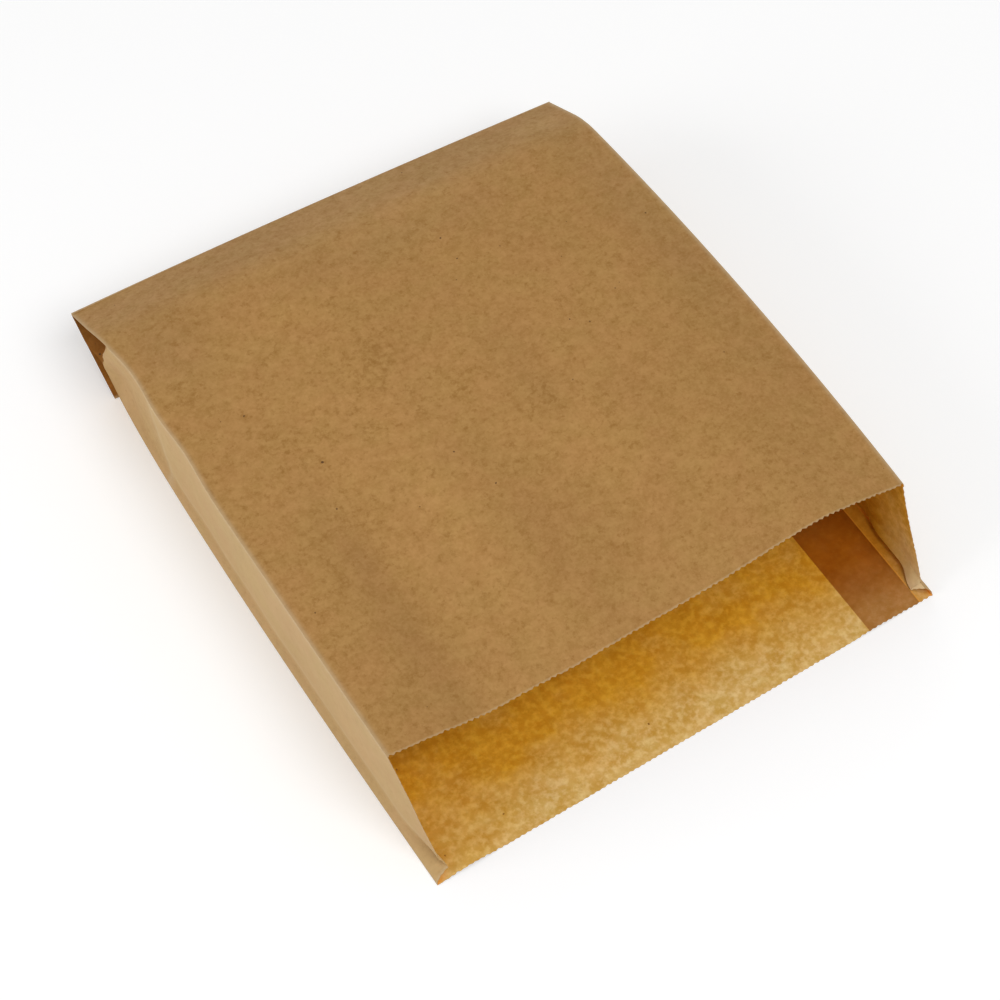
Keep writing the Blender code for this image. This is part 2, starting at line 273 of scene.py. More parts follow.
@dataclass(frozen=True)
class CutSheet:
    """Sizes of the sheet, measured flat."""

    width: float = 0.180
    front_length: float = 0.201
    back_length: float = 0.233
    gusset_width: float = 0.037
    flap_length: float = 0.0305
    seam_width: float = 0.0195
    seam_from_edge: float = 0.005
    paper: float = 0.00012
    tooth_pitch: float = 0.002
    tooth_depth: float = 0.0009
    flap_clearance: float = 0.0004

    @property
    def half_width(self) -> float:
        """Half of the panels' width."""
        return self.width / 2

    @property
    def half_gusset(self) -> float:
        """Width of a gusset's half, from its edge to its centre fold."""
        return self.gusset_width / 2

    @property
    def floor_length(self) -> float:
        """Length of the back panel that lies on the floor."""
        return self.back_length - self.flap_length

    @property
    def hinge_share(self) -> float:
        """Share of the tube's length at which the back panel leaves the floor."""
        return self.flap_length / self.back_length

    @property
    def flap_end_share(self) -> float:
        """Share of the tube's length at which the glued flap ends."""
        return (self.flap_length - self.flap_clearance) / self.back_length


@dataclass(frozen=True)
class Lie:
    """How the half opened bag lies: slopes, bows, waves, tucks and curls."""

    flap_slope: float = math.radians(48.7)
    nose_slope: float = math.radians(26.0)
    ridge_length: float = 0.0235
    ridge_softness: float = 0.016
    mouth_rise_left: float = 0.0022
    mouth_drop_right: float = 0.0010
    front_bow: float = 0.0022
    side_bow: float = 0.0012
    crease_crown: float = 0.0016
    crease_skew: float = 0.0012
    mouth_skew: float = 0.0017
    flap_overhang: float = 0.0019
    overhang_starts: float = 0.28
    overhang_full: float = 0.60
    overhang_fade: float = 0.028
    flap_draw: float = 0.0004
    tip_spread: float = 0.0013
    tip_droop: float = 0.0008
    tip_full: float = 0.014
    tip_fade: float = 0.026
    edge_draws: tuple[Wave, ...] = (Wave(0.044, 0.013, 0.0014), Wave(0.077, 0.013, 0.0011))
    mouth_waves: tuple[Wave, ...] = (
        Wave(-0.036, 0.040, -0.0045),
        Wave(-0.060, 0.014, -0.0020),
        Wave(0.058, 0.026, 0.0060),
    )
    wave_fade: float = 0.095
    lip_waves: tuple[Wave, ...] = (Wave(-0.078, 0.007, 0.0010), Wave(0.070, 0.010, 0.0006))
    lip_fade: float = 0.018
    hollow_top: float = 0.0262
    hollow_bottom: float = 0.0165
    hollow_lead: float = 0.0030
    hollow_wall: float = 0.0030
    bulge_height: float = 0.0027
    bulge_reach: tuple[float, float] = (0.013, 0.004)
    fold_share: float = 0.84
    fold_settle: float = 0.016
    mouth_reach: float = 0.020
    tuck: tuple[float, float] = (0.0015, 0.0003)
    mouth_tuck: tuple[float, float] = (0.0050, 0.0050)
    draws: tuple[tuple[Draw, ...], ...] = (
        (Draw(1.0, 0.020, 0.020),),
        (Draw(0.5, 0.038, 0.014), Draw(0.5, 0.012, 0.012)),
    )
    belly: tuple[float, float] = (1.0, 0.65)
    roof_roundness: tuple[float, float] = (1.8, 1.3)
    tube_reach: float = 0.016
    tube_dip: Wave = Wave(0.92, 0.045, -0.0021)
    tube_pull: Wave = Wave(0.915, 0.042, 0.0030)
    tube_height: float = 0.0026
    facet_top: float = 0.053
    facet_bottom: float = 0.061
    facet_depth: float = 0.0014
    facet_reach: float = 0.024
    cockle: Cockle = Cockle(seed=11, height=0.00016, shortest=0.016, longest=0.060)
    gusset_cockle: Cockle = Cockle(seed=23, height=0.00016, shortest=0.012, longest=0.040)


@dataclass(frozen=True)
class Grid:
    """How finely the two faces of the sheet are divided."""

    front_cell: float = 0.002
    back_cell: float = 0.001
    half_gusset_places: tuple[float, ...] = (
        0.0, 0.03, 0.08, 0.18, 0.29, 0.40, 0.51, 0.62, 0.73, 0.84, 0.93, 0.975, 1.0
    )
    nose_rows: int = 26
    body_rows: int = 84
    mouth_rows: int = 12
    rim_step: float = 0.0011
    rim_points: int = 4
    fold_steps: tuple[float, ...] = (0.0, 0.0005, 0.0012)
    seam_step: float = 0.0002
    seam_climb: float = 0.0003
    strip_steps: tuple[float, ...] = (0.0040, 0.0020, 0.0004, 0.0)
    flap_step: float = 0.0001
    nose_tip: float = 0.0005
    lining_start: float = 0.004
    weld: float = 0.000001

    @property
    def half_gusset_columns(self) -> int:
        """Number of columns across a gusset's half."""
        return len(self.half_gusset_places) - 1

    def rows(self, sheet: CutSheet, lie: Lie) -> Array:
        """Shares of the tube's length for the rows, from the closed end to the mouth.

        Args:
            sheet: the sheet's sizes.
            lie: how the bag lies.

        Returns:
            A column of shares.
        """
        nose = np.linspace(0.0, sheet.flap_end_share, self.nose_rows)
        hinge = (sheet.flap_end_share + self.flap_step / sheet.back_length, sheet.hinge_share)
        start = 1.0 - lie.mouth_reach / sheet.back_length
        body = np.linspace(sheet.hinge_share, start, self.body_rows + 1)[1:]
        before_rim = 1.0 - self.rim_step / sheet.back_length
        mouth = np.linspace(start, before_rim, self.mouth_rows + 1)[1:]
        return np.concatenate((nose, hinge, body, mouth, (1.0,)))[:, None]

    def across(self, sheet: CutSheet) -> Array:
        """Places of the front panel's columns, -1 at its left edge and 1 at its right.

        Args:
            sheet: the sheet's sizes.

        Returns:
            A row of places, closer together beside the folds.
        """
        fine = np.array(self.fold_steps)
        inside = np.arange(self.front_cell, sheet.width - self.front_cell / 2, self.front_cell)
        places = np.concatenate((fine, inside, (sheet.width - fine)[::-1]))
        return places / sheet.half_width - 1.0

    def back_across(self, sheet: CutSheet) -> Array:
        """Places of the back panel's columns from right to left, the seam's edges first.

        Args:
            sheet: the sheet's sizes.

        Returns:
            A row of places across.
        """
        glued = sheet.half_width - sheet.seam_from_edge
        cut = glued - sheet.seam_width
        band = np.linspace(glued - self.seam_climb, cut, round(sheet.seam_width / self.back_cell))
        count = round((cut + glued) / self.back_cell) + 1
        rest = np.linspace(cut - self.seam_step, -glued, count)
        strip = glued + np.array(self.strip_steps)
        return np.concatenate((strip, band, rest)) / sheet.half_width

    def over_seam(self, sheet: CutSheet) -> Array:
        """Whether each column of the back panel lies over the glued seam."""
        number = np.arange(len(self.back_across(sheet))) - len(self.strip_steps)
        return (number >= 0) & (number < round(sheet.seam_width / self.back_cell))


@dataclass(frozen=True)
class FrontPanel:
    """Upper panel: it climbs the nose, eases over a soft ridge and runs to the mouth."""

    sheet: CutSheet
    lie: Lie

    def crease_point(self, across: Array) -> tuple[Array, Array]:
        """Place along Y and height of the end crease.

        Args:
            across: places across, -1 to 1.

        Returns:
            The places and the heights.
        """
        length, slope = self.sheet.flap_length, self.lie.flap_slope
        along = length * math.cos(slope) - self.lie.crease_skew * across
        height = length * math.sin(slope) + self.lie.crease_crown * (1.0 - across**2)
        return along, height

    def profile(self, lengths: Array) -> list[Array]:
        """Run, rise and slope at lengths from the crease.

        The slope eases from the nose's to level round the ridge, and the run and the
        rise are the running sums of its cosine and sine.

        Args:
            lengths: lengths along the panel from the end crease.

        Returns:
            Three arrays: runs, rises and slopes.
        """
        fine = np.linspace(0.0, self.sheet.front_length, PROFILE_POINTS)
        ease = smooth_step((fine - self.lie.ridge_length) / self.lie.ridge_softness + 0.5)
        slope = self.lie.nose_slope * (1.0 - ease)
        run = np.cumsum(np.cos(slope)) * fine[1]
        rise = np.cumsum(np.sin(slope)) * fine[1]
        return [np.interp(lengths, fine, line) for line in (run - run[0], rise - rise[0], slope)]

    def waves(self, across: Array) -> Array:
        """Height of the waves at the mouth, drawn level so that both edges stay put.

        Args:
            across: places across, -1 to 1.

        Returns:
            The heights.
        """
        half = self.sheet.half_width
        total = sum(wave.at(across * half) for wave in self.lie.mouth_waves)
        ends = sum(wave.at(EDGES * half) for wave in self.lie.mouth_waves)
        return total - np.interp(across, EDGES, ends)

    def points(self, share: Array, across: Array, depth: float) -> Array:
        """Points of the panel at a depth under its outer face.

        Args:
            share: shares of the tube's length.
            across: places across, -1 to 1.
            depth: distance below the outer face.

        Returns:
            Points in rows.
        """
        sheet, lie = self.sheet, self.lie
        along, height = self.crease_point(across)
        middle = math.pi + (lie.flap_slope - lie.nose_slope) / 2
        stack = 4 * sheet.paper
        length = share * sheet.front_length
        run, rise, slope = self.profile(length)
        body = np.clip((length - lie.ridge_length) / (sheet.front_length - lie.ridge_length), 0.0, 1.0)
        bow = arch(body)
        on_right = (1.0 + across) / 2
        sides = (1.0 - on_right) * lie.mouth_rise_left * body**2
        sides = sides + on_right * (lie.front_bow * bow - lie.mouth_drop_right * body**2)
        fade = np.exp((length - sheet.front_length) / lie.wave_fade) * body
        crown = lie.crease_crown * (1.0 - across**2) * smooth_step(length / lie.ridge_length)
        on_left = np.clip(-across, 0.0, 1.0)
        tip = on_left**2 * (1.0 - smooth_step((length - lie.tip_full) / lie.tip_fade))
        drawn = sum(wave.at(length) for wave in lie.edge_draws) * on_left**4
        x = across * sheet.half_width + lie.side_bow * bow * np.clip(across, 0.0, 1.0) ** 3
        x = x + drawn - lie.tip_spread * tip
        y = along + math.sin(middle) * stack - run - depth * np.sin(slope)
        y = y + lie.crease_skew * across * body
        z = height - math.cos(middle) * stack + rise - depth * np.cos(slope)
        free = (1.0 - across**2) ** 0.5 * smooth_step(length / lie.ridge_length)
        cockle = lie.cockle.at(across * sheet.half_width, length) * free
        z = z - crown + sides + fade * self.waves(across) + cockle - lie.tip_droop * tip
        return np.stack(np.broadcast_arrays(x, y, z), axis=-1)


@dataclass(frozen=True)
class BackPanel:
    """Lower panel: down the flap's slope to the hinge, then flat on the floor."""

    sheet: CutSheet
    lie: Lie
    front: FrontPanel

    def half_width_at(self, share: Array) -> Array:
        """Half width of the panel, drawn in beside the flap and bowed along the floor.

        Args:
            share: shares of the tube's length.

        Returns:
            Half widths.
        """
        sheet, lie = self.sheet, self.lie
        from_hinge = np.clip(share - sheet.hinge_share, 0.0, 1.0) * sheet.back_length
        run = from_hinge / sheet.floor_length
        starts, full = lie.overhang_starts, lie.overhang_full
        down_flap = smooth_step((share / sheet.hinge_share - starts) / (full - starts))
        drawn = lie.flap_overhang * down_flap * np.exp(-from_hinge / lie.overhang_fade)
        return sheet.half_width - drawn + lie.side_bow * arch(run)

    def flap_sides(self, share: Array) -> Array:
        """Places along X of the glued flap's two sides, spread at the left tip.

        Args:
            share: shares of the tube's length.

        Returns:
            Left and right places in rows.
        """
        up_flap = np.clip(1.0 - share / self.sheet.hinge_share, 0.0, 1.0)
        spread = np.array((-self.lie.tip_spread, 0.0)) * up_flap
        drawn = np.array((self.lie.flap_draw, 0.0)) * (1.0 - up_flap)
        return EDGES * self.sheet.half_width + spread + drawn

    def points(self, share: Array, across: Array, lift: Array) -> Array:
        """Points of the panel at a lift above its outer face, so towards the inside.

        Args:
            share: shares of the tube's length.
            across: places across, -1 to 1.
            lift: distance above the outer face, negative below it.

        Returns:
            Points in rows.
        """
        sheet, lie = self.sheet, self.lie
        along, height = self.front.crease_point(across)
        up_flap = np.clip(1.0 - share / sheet.hinge_share, 0.0, 1.0)
        on_floor = np.clip(share - sheet.hinge_share, 0.0, 1.0) * sheet.back_length
        at_hinge = np.isclose(share, sheet.hinge_share)
        lean = np.where(share < sheet.hinge_share, lie.flap_slope, 0.0)
        lean = np.where(at_hinge, lie.flap_slope / 2, lean)
        lift = lift * np.where(at_hinge, 1.0 / math.cos(lie.flap_slope / 2), 1.0)
        x = across * self.half_width_at(share)
        from_mouth = sheet.floor_length - on_floor
        tip = np.clip(-across, 0.0, 1.0) ** 2 * up_flap
        x = x - lie.tip_spread * tip
        lip = sum(wave.at(x) for wave in lie.lip_waves) * bell(from_mouth, lie.lip_fade)
        skew = lie.mouth_skew * across * (on_floor / sheet.floor_length) ** 4
        y = up_flap * along - on_floor + skew - lift * np.sin(lean)
        z = up_flap * height + lip + lift * np.cos(lean) - lie.tip_droop * tip
        return np.stack(np.broadcast_arrays(x, y, z), axis=-1)


@dataclass(frozen=True)
class SideGusset:
    """Side wall: pinched to a V at the closed end, almost upright further on."""

    sheet: CutSheet
    lie: Lie
    grid: Grid
    side: Side

    def places(self, share: Array) -> tuple[Array, Array]:
        """Places down the gusset, 0 at its top edge and 1 at its bottom, and its fold's.

        The fold lies half way down at the closed end and settles to near the floor.

        Args:
            share: shares of the tube's length, as a column.

        Returns:
            The places in rows, and the fold's place in each row.
        """
        half = np.array(self.grid.half_gusset_places)
        gone = (share * self.sheet.front_length - self.lie.hollow_top) / self.lie.fold_settle
        fold = 0.5 + (self.lie.fold_share - 0.5) * smooth_step(gone)
        return np.concatenate((half * fold, fold + (1.0 - fold) * half[1:]), axis=1), fold

    def facet(self, share: Array, places: Array) -> Array:
        """Shallow facet next to the hollow, up to a slanted line down the left gusset.

        It deepens evenly from nothing at the line towards the closed end.

        Args:
            share: shares of the tube's length, as a column.
            places: places down the gusset.

        Returns:
            Depths of the facet.
        """
        if self.side is Side.RIGHT:
            return np.zeros(places.shape)
        before = np.clip(self.before_facet_line(share, places) / self.lie.facet_reach, 0.0, 1.0)
        return self.lie.facet_depth * before * arch(places)

    def before_facet_line(self, share: Array, places: Array) -> Array:
        """Distance from the slanted line towards the closed end, negative past it."""
        line = self.lie.facet_top + (self.lie.facet_bottom - self.lie.facet_top) * places
        return line - share * self.sheet.front_length

    def wall(self, share: Array, places: Array, depth: float) -> Array:
        """Rise of the wall that ends the hollow, at a depth of paper: 0 in the hollow, 1 past it."""
        return smooth_step((self.past_hollow(share, places) - depth) / self.lie.hollow_wall)

    def past_hollow(self, share: Array, places: Array) -> Array:
        """Distance past the hollow's end, which lies sooner in the middle of the gusset.

        Args:
            share: shares of the tube's length, as a column.
            places: places down the gusset.

        Returns:
            Distances along the sheet, negative in the hollow.
        """
        lie, sheet = self.lie, self.sheet
        start = lie.hollow_top / sheet.front_length * (1.0 - places)
        start = start + lie.hollow_bottom / sheet.back_length * places
        return (share - start) * sheet.front_length + lie.hollow_lead * arch(places)

    def bulge(self, share: Array, places: Array) -> Array:
        """How far the gusset bulges outwards next to the hollow's end.

        It is a bell on the distance past the end, times a parabola down the gusset, and
        the bell's reach shrinks from the gusset's top edge to its bottom edge.

        Args:
            share: shares of the tube's length, as a column.
            places: places down the gusset.

        Returns:
            The bulge in rows.
        """
        past = np.clip(self.past_hollow(share, places) - self.lie.hollow_wall, 0.0, None)
        top, bottom = self.lie.bulge_reach
        reach = top + (bottom - top) * places
        return self.lie.bulge_height * arch(places) * bell(past, reach)

    def tuck(self, share: Array, span: Array, depth: float) -> Array:
        """How far the points tuck into the bag from a straight line down its edges.

        Near the closed end the halves keep their flat width, so the tuck is the third
        side of a right triangle with a half gusset and half of the span between the
        edges. Past the hollow's wall only the fold and the lower half tuck in a little.

        Args:
            share: shares of the tube's length, as a column.
            span: distance between the gusset's edges in each row.
            depth: paper between this face and the outer one.

        Returns:
            The tucks in rows.
        """
        sheet, lie = self.sheet, self.lie
        places, fold = self.places(share)
        plain = lie.tuck[self.side.value]
        reach = np.clip(sheet.half_gusset**2 - (span / 2) ** 2, 0.0, None)
        pinch = np.sqrt(reach) * tent(places, fold)
        from_mouth = (1.0 - share) * sheet.back_length
        at_mouth = sum(draw.at(from_mouth) for draw in lie.draws[self.side.value])
        low = (1.0 + fold) / 2
        low_tuck = plain + at_mouth * (lie.mouth_tuck[self.side.value] - plain)
        fold_tuck = (plain + low_tuck) / 2
        above = fold_tuck * (places / fold) ** lie.belly[self.side.value]
        between = fold_tuck + (low_tuck - fold_tuck) * (places - fold) / (low - fold)
        below = low_tuck * ((1.0 - places) / (1.0 - low)) ** lie.roof_roundness[self.side.value]
        upright = np.where(places < fold, above, np.where(places < low, between, below))
        cockle = lie.gusset_cockle.at(places * sheet.gusset_width, share * sheet.front_length)
        upright = upright + arch(places) * cockle
        upright = upright + self.facet(share, places) - self.bulge(share, places)
        return pinch + (upright - pinch) * self.wall(share, places, depth)

    def tube(self, share: Array) -> Array:
        """Small tube that the right gusset's lowest strip makes with the back panel.

        Near the mouth the gusset dips to the back panel a few millimetres in from the
        bag's edge, its end there is pulled back, and below the dip it arches out again.

        Args:
            share: shares of the tube's length, as a column.

        Returns:
            Offsets in rows.
        """
        lie = self.lie
        places, fold = self.places(share)
        offsets = np.zeros((*places.shape, 3))
        if self.side is Side.RIGHT:
            near = smooth_step(1.0 - (1.0 - share) * self.sheet.back_length / lie.tube_reach)
            low = (1.0 + fold) / 2
            down = np.clip((places - low) / (1.0 - low), 0.0, 1.0)
            held = 1.0 - smooth_step(down)
            offsets[..., 1] = near * lie.tube_pull.at(places) * held
            offsets[..., 2] = near * lie.tube_dip.at(places) * held
            offsets[..., 2] += near * lie.tube_height * np.sin(math.pi * down)
        return offsets

    def outer(self, share: Array, top: Array, bottom: Array) -> Array:
        """Points of the outer face, between its edges' points in each row.

        Args:
            share: shares of the tube's length, as a column.
            top: points of the top edge.
            bottom: points of the bottom edge.

        Returns:
            Points in rows, from the top edge down.
        """
        places, _ = self.places(share)
        span = np.linalg.norm(top - bottom, axis=1, keepdims=True)
        points = mix(top, bottom, places)
        points[..., 0] += self.side.inward * self.tuck(share, span, 0.0)
        return points + self.tube(share)

    def inner(self, share: Array, edges: Array, linings: Array) -> Array:
        """Points of the inner face.

        Where the gusset and a panel close to a sharp wedge, their inner faces meet
        further in, by the paper's thickness over the tangent of half the wedge's angle.

        Args:
            share: shares of the tube's length, as a column.
            edges: outer points of the top and the bottom edge.
            linings: inner points of the panels at the same edges.

        Returns:
            Points in rows, from the top edge down.
        """
        paper = self.sheet.paper
        places, fold = self.places(share)
        outer = self.outer(share, edges[0], edges[1])
        insets = []
        for edge, near in ((outer[:, 0], outer[:, 1]), (outer[:, -1], outer[:, -2])):
            way = near - edge
            opening = np.arctan2(np.hypot(way[:, 1], way[:, 2]), self.side.inward * way[:, 0])
            insets.append((paper / np.tan(opening / 2))[:, None])
        span = np.linalg.norm(edges[0] - edges[1], axis=1, keepdims=True)
        inset = insets[0] * (1.0 - places) + insets[1] * places
        shape = tent(places, fold)
        points = mix(linings[0], linings[1], places)
        tuck = self.tuck(share, span, paper)
        points[..., 0] += self.side.inward * (inset * (1.0 - shape) + paper * shape + tuck)
        return points + self.tube(share)


class Mark(Enum):
    """What a point of the sheet tells its finish, from 0 to 1."""

    # Fold lines: partly fibre wear, partly painted highlight.
    FOLD = "fold"
    # Painted shade where layers of paper stack or lie behind.
    LAYERS = "layers"
    # Painted light.
    PALE = "pale"
    # Painted shade, growing into the bag.
    DEPTH = "depth"
    # Painted shade and light: 1 gives the shaded colour, 0 the lit one.
    SHADE = "shade"
    RUBBED = "rubbed"
    # Painted sheen, bluish grey.
    COOL = "cool"


@dataclass(frozen=True)
class MarkPlan:
    """How far and how strongly the marks show.

    Reaches are in metres and strengths go from 0 to 1. Runs and starts down a gusset
    are shares of its width.
    """

    even_shade: float = 0.5
    even_rub: float = 0.25
    fold_reach: float = 0.0009
    centre_fold: float = 0.6
    mouth_edge: float = 0.9
    facet_line: float = 0.9
    facet_line_reach: float = 0.0014
    facet_edge_reach: float = 0.002
    facet_shade: float = 0.27
    fold_run: float = 0.03
    fold_shade: float = 0.22
    # Fold lines at the seam's edge and beside it, painted as bright highlights on the inner face.
    seam_edge: float = 0.8
    seam_strip_fold: float = 0.3
    # Painted shade on the strip beside the seam, and painted light on the seam near the mouth.
    seam_strip_shade: float = 0.30
    seam_rim_light: float = 0.17
    seam_rim_light_reach: float = 0.012
    # Painted shade at the gussets' feet.
    foot_layer_shade: float = 0.15
    foot_lead: float = 0.8
    # Painted light on the lower ends of the inner gussets near the mouth.
    painted_light_from: float = 0.40
    painted_light_run: float = 0.5
    painted_light_reach: float = 0.016
    inner_gusset_shade: float = 0.4
    # Painted shade far inside the bag, towards the gussets' tops and in its left corner.
    depth_shade_reach: float = 0.026
    corner_shade: float = 0.3
    corner_shade_reach: float = 0.040


@dataclass
class Skin:
    """One face of the sheet: its points in rows, and their marks."""

    points: Array
    marks: dict[Mark, Array]


@dataclass
class Shell:
    """Points, marks and faces of the mesh while it is put together."""

    points: list[Array] = field(default_factory=list)
    marks: dict[Mark, list[Array]] = field(default_factory=lambda: {mark: [] for mark in Mark})
    faces: list[list[int]] = field(default_factory=list)
    kinds: list[int] = field(default_factory=list)

    def add_points(self, points: Array, marks: dict[Mark, Array]) -> Array:
        """Add points with their marks.

        Args:
            points: the points, in rows or in one row.
            marks: a value for each point by mark.

        Returns:
            The points' numbers, in the same rows.
        """
        first = sum(len(added) for added in self.points)
        self.points.append(points.reshape(-1, 3))
        for mark, values in marks.items():
            self.marks[mark].append(np.ravel(values))
        return first + np.arange(len(self.points[-1])).reshape(points.shape[:-1])

    def add_faces(self, corners: Array, face: Face) -> None:
        """Add faces of one kind, each a row of point numbers."""
        self.faces += corners.tolist()
        self.kinds += [face.value] * len(corners)


@dataclass
class PaperBag:
    """The folded and glued sheet, as one closed mesh with three finishes."""

    sheet: CutSheet = field(default_factory=CutSheet)
    lie: Lie = field(default_factory=Lie)
    grid: Grid = field(default_factory=Grid)
    # Rubbed marks, with painted shade, light and sheen, on the front panel.
    wear: WearAndPaintedLight = field(default_factory=WearAndPaintedLight)
    plan: MarkPlan = field(default_factory=MarkPlan)
    flap_tooth_reach: float = 0.0012
    tooth_seed: int = 5
    tooth_wear: tuple[float, float] = (0.35, 1.05)
    front_teeth: float = 0.75
    gusset_teeth: float = 0.55
    back_teeth: float = 0.45
    # The pressed tip gets full fold marks, painted light, painted shade and painted sheen.
    tip_marks: tuple[Mark, ...] = (Mark.FOLD, Mark.PALE, Mark.SHADE, Mark.COOL)
    sharp_from: float = math.radians(24.0)

    def __post_init__(self) -> None:
        """Make the four walls."""
        self.front = FrontPanel(self.sheet, self.lie)
        self.back = BackPanel(self.sheet, self.lie, self.front)
        self.gussets = {side: SideGusset(self.sheet, self.lie, self.grid, side) for side in Side}

    def flap_teeth(self, share: Array, across: Array) -> Array:
        """Shares along the outer back face, set back in teeth at the glued flap's end.

        The flap's end was cut by the same toothed knife as the mouth. Each column moves
        by a tooth's depth or not at all, most at the flap's end and less beside it.

        Args:
            share: shares of the tube's length, as a column.
            across: places across, -1 to 1.

        Returns:
            Shares in rows.
        """
        half_pitches = np.rint(across * self.sheet.half_width / (self.sheet.tooth_pitch / 2))
        set_back = np.mod(half_pitches, 2.0) * self.sheet.tooth_depth / self.sheet.back_length
        near = bell((share - self.sheet.flap_end_share) * self.sheet.back_length, self.flap_tooth_reach)
        beyond = share > self.sheet.flap_end_share + 2 * self.grid.flap_step / self.sheet.back_length
        return share - np.where(beyond, 0.0, set_back * near)

    def ring(self, front: object, gusset: dict, foot: object, back: object, rows: int) -> Array:
        """One mark's values round the tube, put together from the walls'.

        Args:
            front: values of the front panel's columns, or one value.
            gusset: values of each side's columns from the top edge down, or one value.
            foot: value beside the back panel's edges.
            back: values of the back panel's columns, or one value.
            rows: number of rows.

        Returns:
            Values in rows.
        """
        down = 2 * self.grid.half_gusset_columns + 1
        across = len(self.grid.across(self.sheet))
        floor = len(self.grid.back_across(self.sheet))
        sides = {side: np.broadcast_to(gusset[side], (rows, down)) for side in Side}
        feet = np.broadcast_to(foot, (rows, 3))
        walls = (np.broadcast_to(front, (rows, across)), sides[Side.RIGHT], feet)
        walls = (*walls, np.broadcast_to(back, (rows, floor)), feet, sides[Side.LEFT][:, ::-1])
        return np.concatenate(walls, axis=1)

    def even_ring(self, gusset: float, rest: float, rows: int) -> Array:
        """One mark's values round the tube: one value on the gussets and one elsewhere."""
        return self.ring(rest, dict.fromkeys(Side, gusset), rest, rest, rows)

    def fold_marks(self, share: Array, centre: float, rim: float) -> Array:
        """How near each point is to a fold: a bell on the distance from the nearest.

        Before the slanted line the left gusset's centre fold doesn't show. The glued
        flap's sides don't show as folds either.

        Args:
            share: shares of the tube's length, as a column.
            centre: how strongly the gussets' centre folds show.
            rim: how strongly the mouth's edge shows.

        Returns:
            Values in rows.
        """
        plan, gusset = self.plan, self.gussets[Side.LEFT]
        across = self.grid.across(self.sheet)
        front = bell((1.0 - np.abs(across)) * self.sheet.half_width, plan.fold_reach)
        half = np.array(self.grid.half_gusset_places) * self.sheet.half_gusset
        edge = bell(half, plan.fold_reach)
        folded = np.maximum(edge, centre * bell(self.sheet.half_gusset - half, plan.fold_reach))
        right = np.concatenate((folded, folded[-2::-1]))
        unfolded = np.concatenate((edge, np.zeros(len(edge) - 1)))
        line = gusset.before_facet_line(share, gusset.places(share)[0])
        left = np.where(line > 0.0, unfolded, right)
        left = np.maximum(left, plan.facet_line * bell(line, plan.facet_line_reach))
        back = self.beside_seam(plan.seam_strip_fold)
        back[len(self.grid.strip_steps) - 1] = plan.seam_edge
        foot = (share >= self.sheet.flap_end_share).astype(float)
        marks = self.ring(front, {Side.RIGHT: right, Side.LEFT: left}, foot, back, len(share))
        return np.maximum(marks, rim * (share == 1.0))

    def beside_seam(self, value: float) -> Array:
        """A value for the back panel's columns in the strip right of the seam, 0 elsewhere."""
        return value * (np.arange(len(self.grid.back_across(self.sheet))) < len(self.grid.strip_steps))

    def outer_marks(self, share: Array) -> dict[Mark, Array]:
        """Marks of the outer face.

        The hollow gets painted shade, as layered paper with sheets behind it, and the
        gussets past the hollow get painted light, a little less below their fold and
        before the slanted line.

        Args:
            share: shares of the tube's length, as a column.

        Returns:
            Values in rows for each mark.
        """
        plan, rows = self.plan, len(share)
        hollow_shade, pale = {}, {}
        for side, gusset in self.gussets.items():
            places, fold = gusset.places(share)
            wall = gusset.wall(share, places, 0.0)
            line = gusset.before_facet_line(share, places)
            before = smooth_step(line / plan.facet_edge_reach + 0.5)
            below = smooth_step((places - fold) / plan.fold_run) * (1.0 - before)
            # Painted shade in the hollow, and painted light on the gussets past it.
            hollow_shade[side] = 1.0 - wall
            pale[side] = wall * (1.0 - plan.fold_shade * below - plan.facet_shade * before)
        on_flap = (share < self.sheet.flap_end_share).astype(float)
        across = self.grid.across(self.sheet)[None, :] * self.sheet.half_width
        along = share * self.sheet.front_length
        # Painted shade and light, rubbed marks and painted sheen from the front panel's patches.
        shade, rub, cool = (
            sum(oval_patch.at(across, along) for oval_patch in patches)
            for patches in (self.wear.shades, self.wear.rubs, self.wear.painted_sheens)
        )
        shade = plan.even_shade * (1.0 + np.clip(shade, -1.0, 1.0))
        even, none = dict.fromkeys(Side, plan.even_shade), dict.fromkeys(Side, 0.0)
        rubbed = dict.fromkeys(Side, plan.even_rub)
        return {
            Mark.FOLD: self.fold_marks(share, plan.centre_fold, plan.mouth_edge),
            # Painted shade in the hollow and on the flap's ledge.
            Mark.LAYERS: self.ring(0.0, hollow_shade, on_flap, 0.0, rows),
            Mark.PALE: self.ring(0.0, pale, 0.0, 0.0, rows),
            Mark.DEPTH: self.even_ring(0.0, 0.0, rows),
            Mark.SHADE: self.ring(shade, even, plan.even_shade, plan.even_shade, rows),
            Mark.RUBBED: self.ring(plan.even_rub + rub, rubbed, plan.even_rub, plan.even_rub, rows),
            Mark.COOL: self.ring(np.clip(cool, 0.0, 1.0), none, 0.0, 0.0, rows),
        }

    def inner_marks(self, share: Array, doubled: Array) -> dict[Mark, Array]:
        """Marks of the inner face.

        The seam's band gets painted shade, a little lighter near the mouth, and so in
        part do the gussets below their folds. Their lower ends at the mouth get painted
        light. Painted shade grows with the way from the mouth and in the left corner.

        Args:
            share: shares of the tube's length, as a column.
            doubled: whether each column of the back panel lies over the seam.

        Returns:
            Values in rows for each mark.
        """
        plan, rows = self.plan, len(share)
        from_mouth = (1.0 - share) * self.sheet.front_length
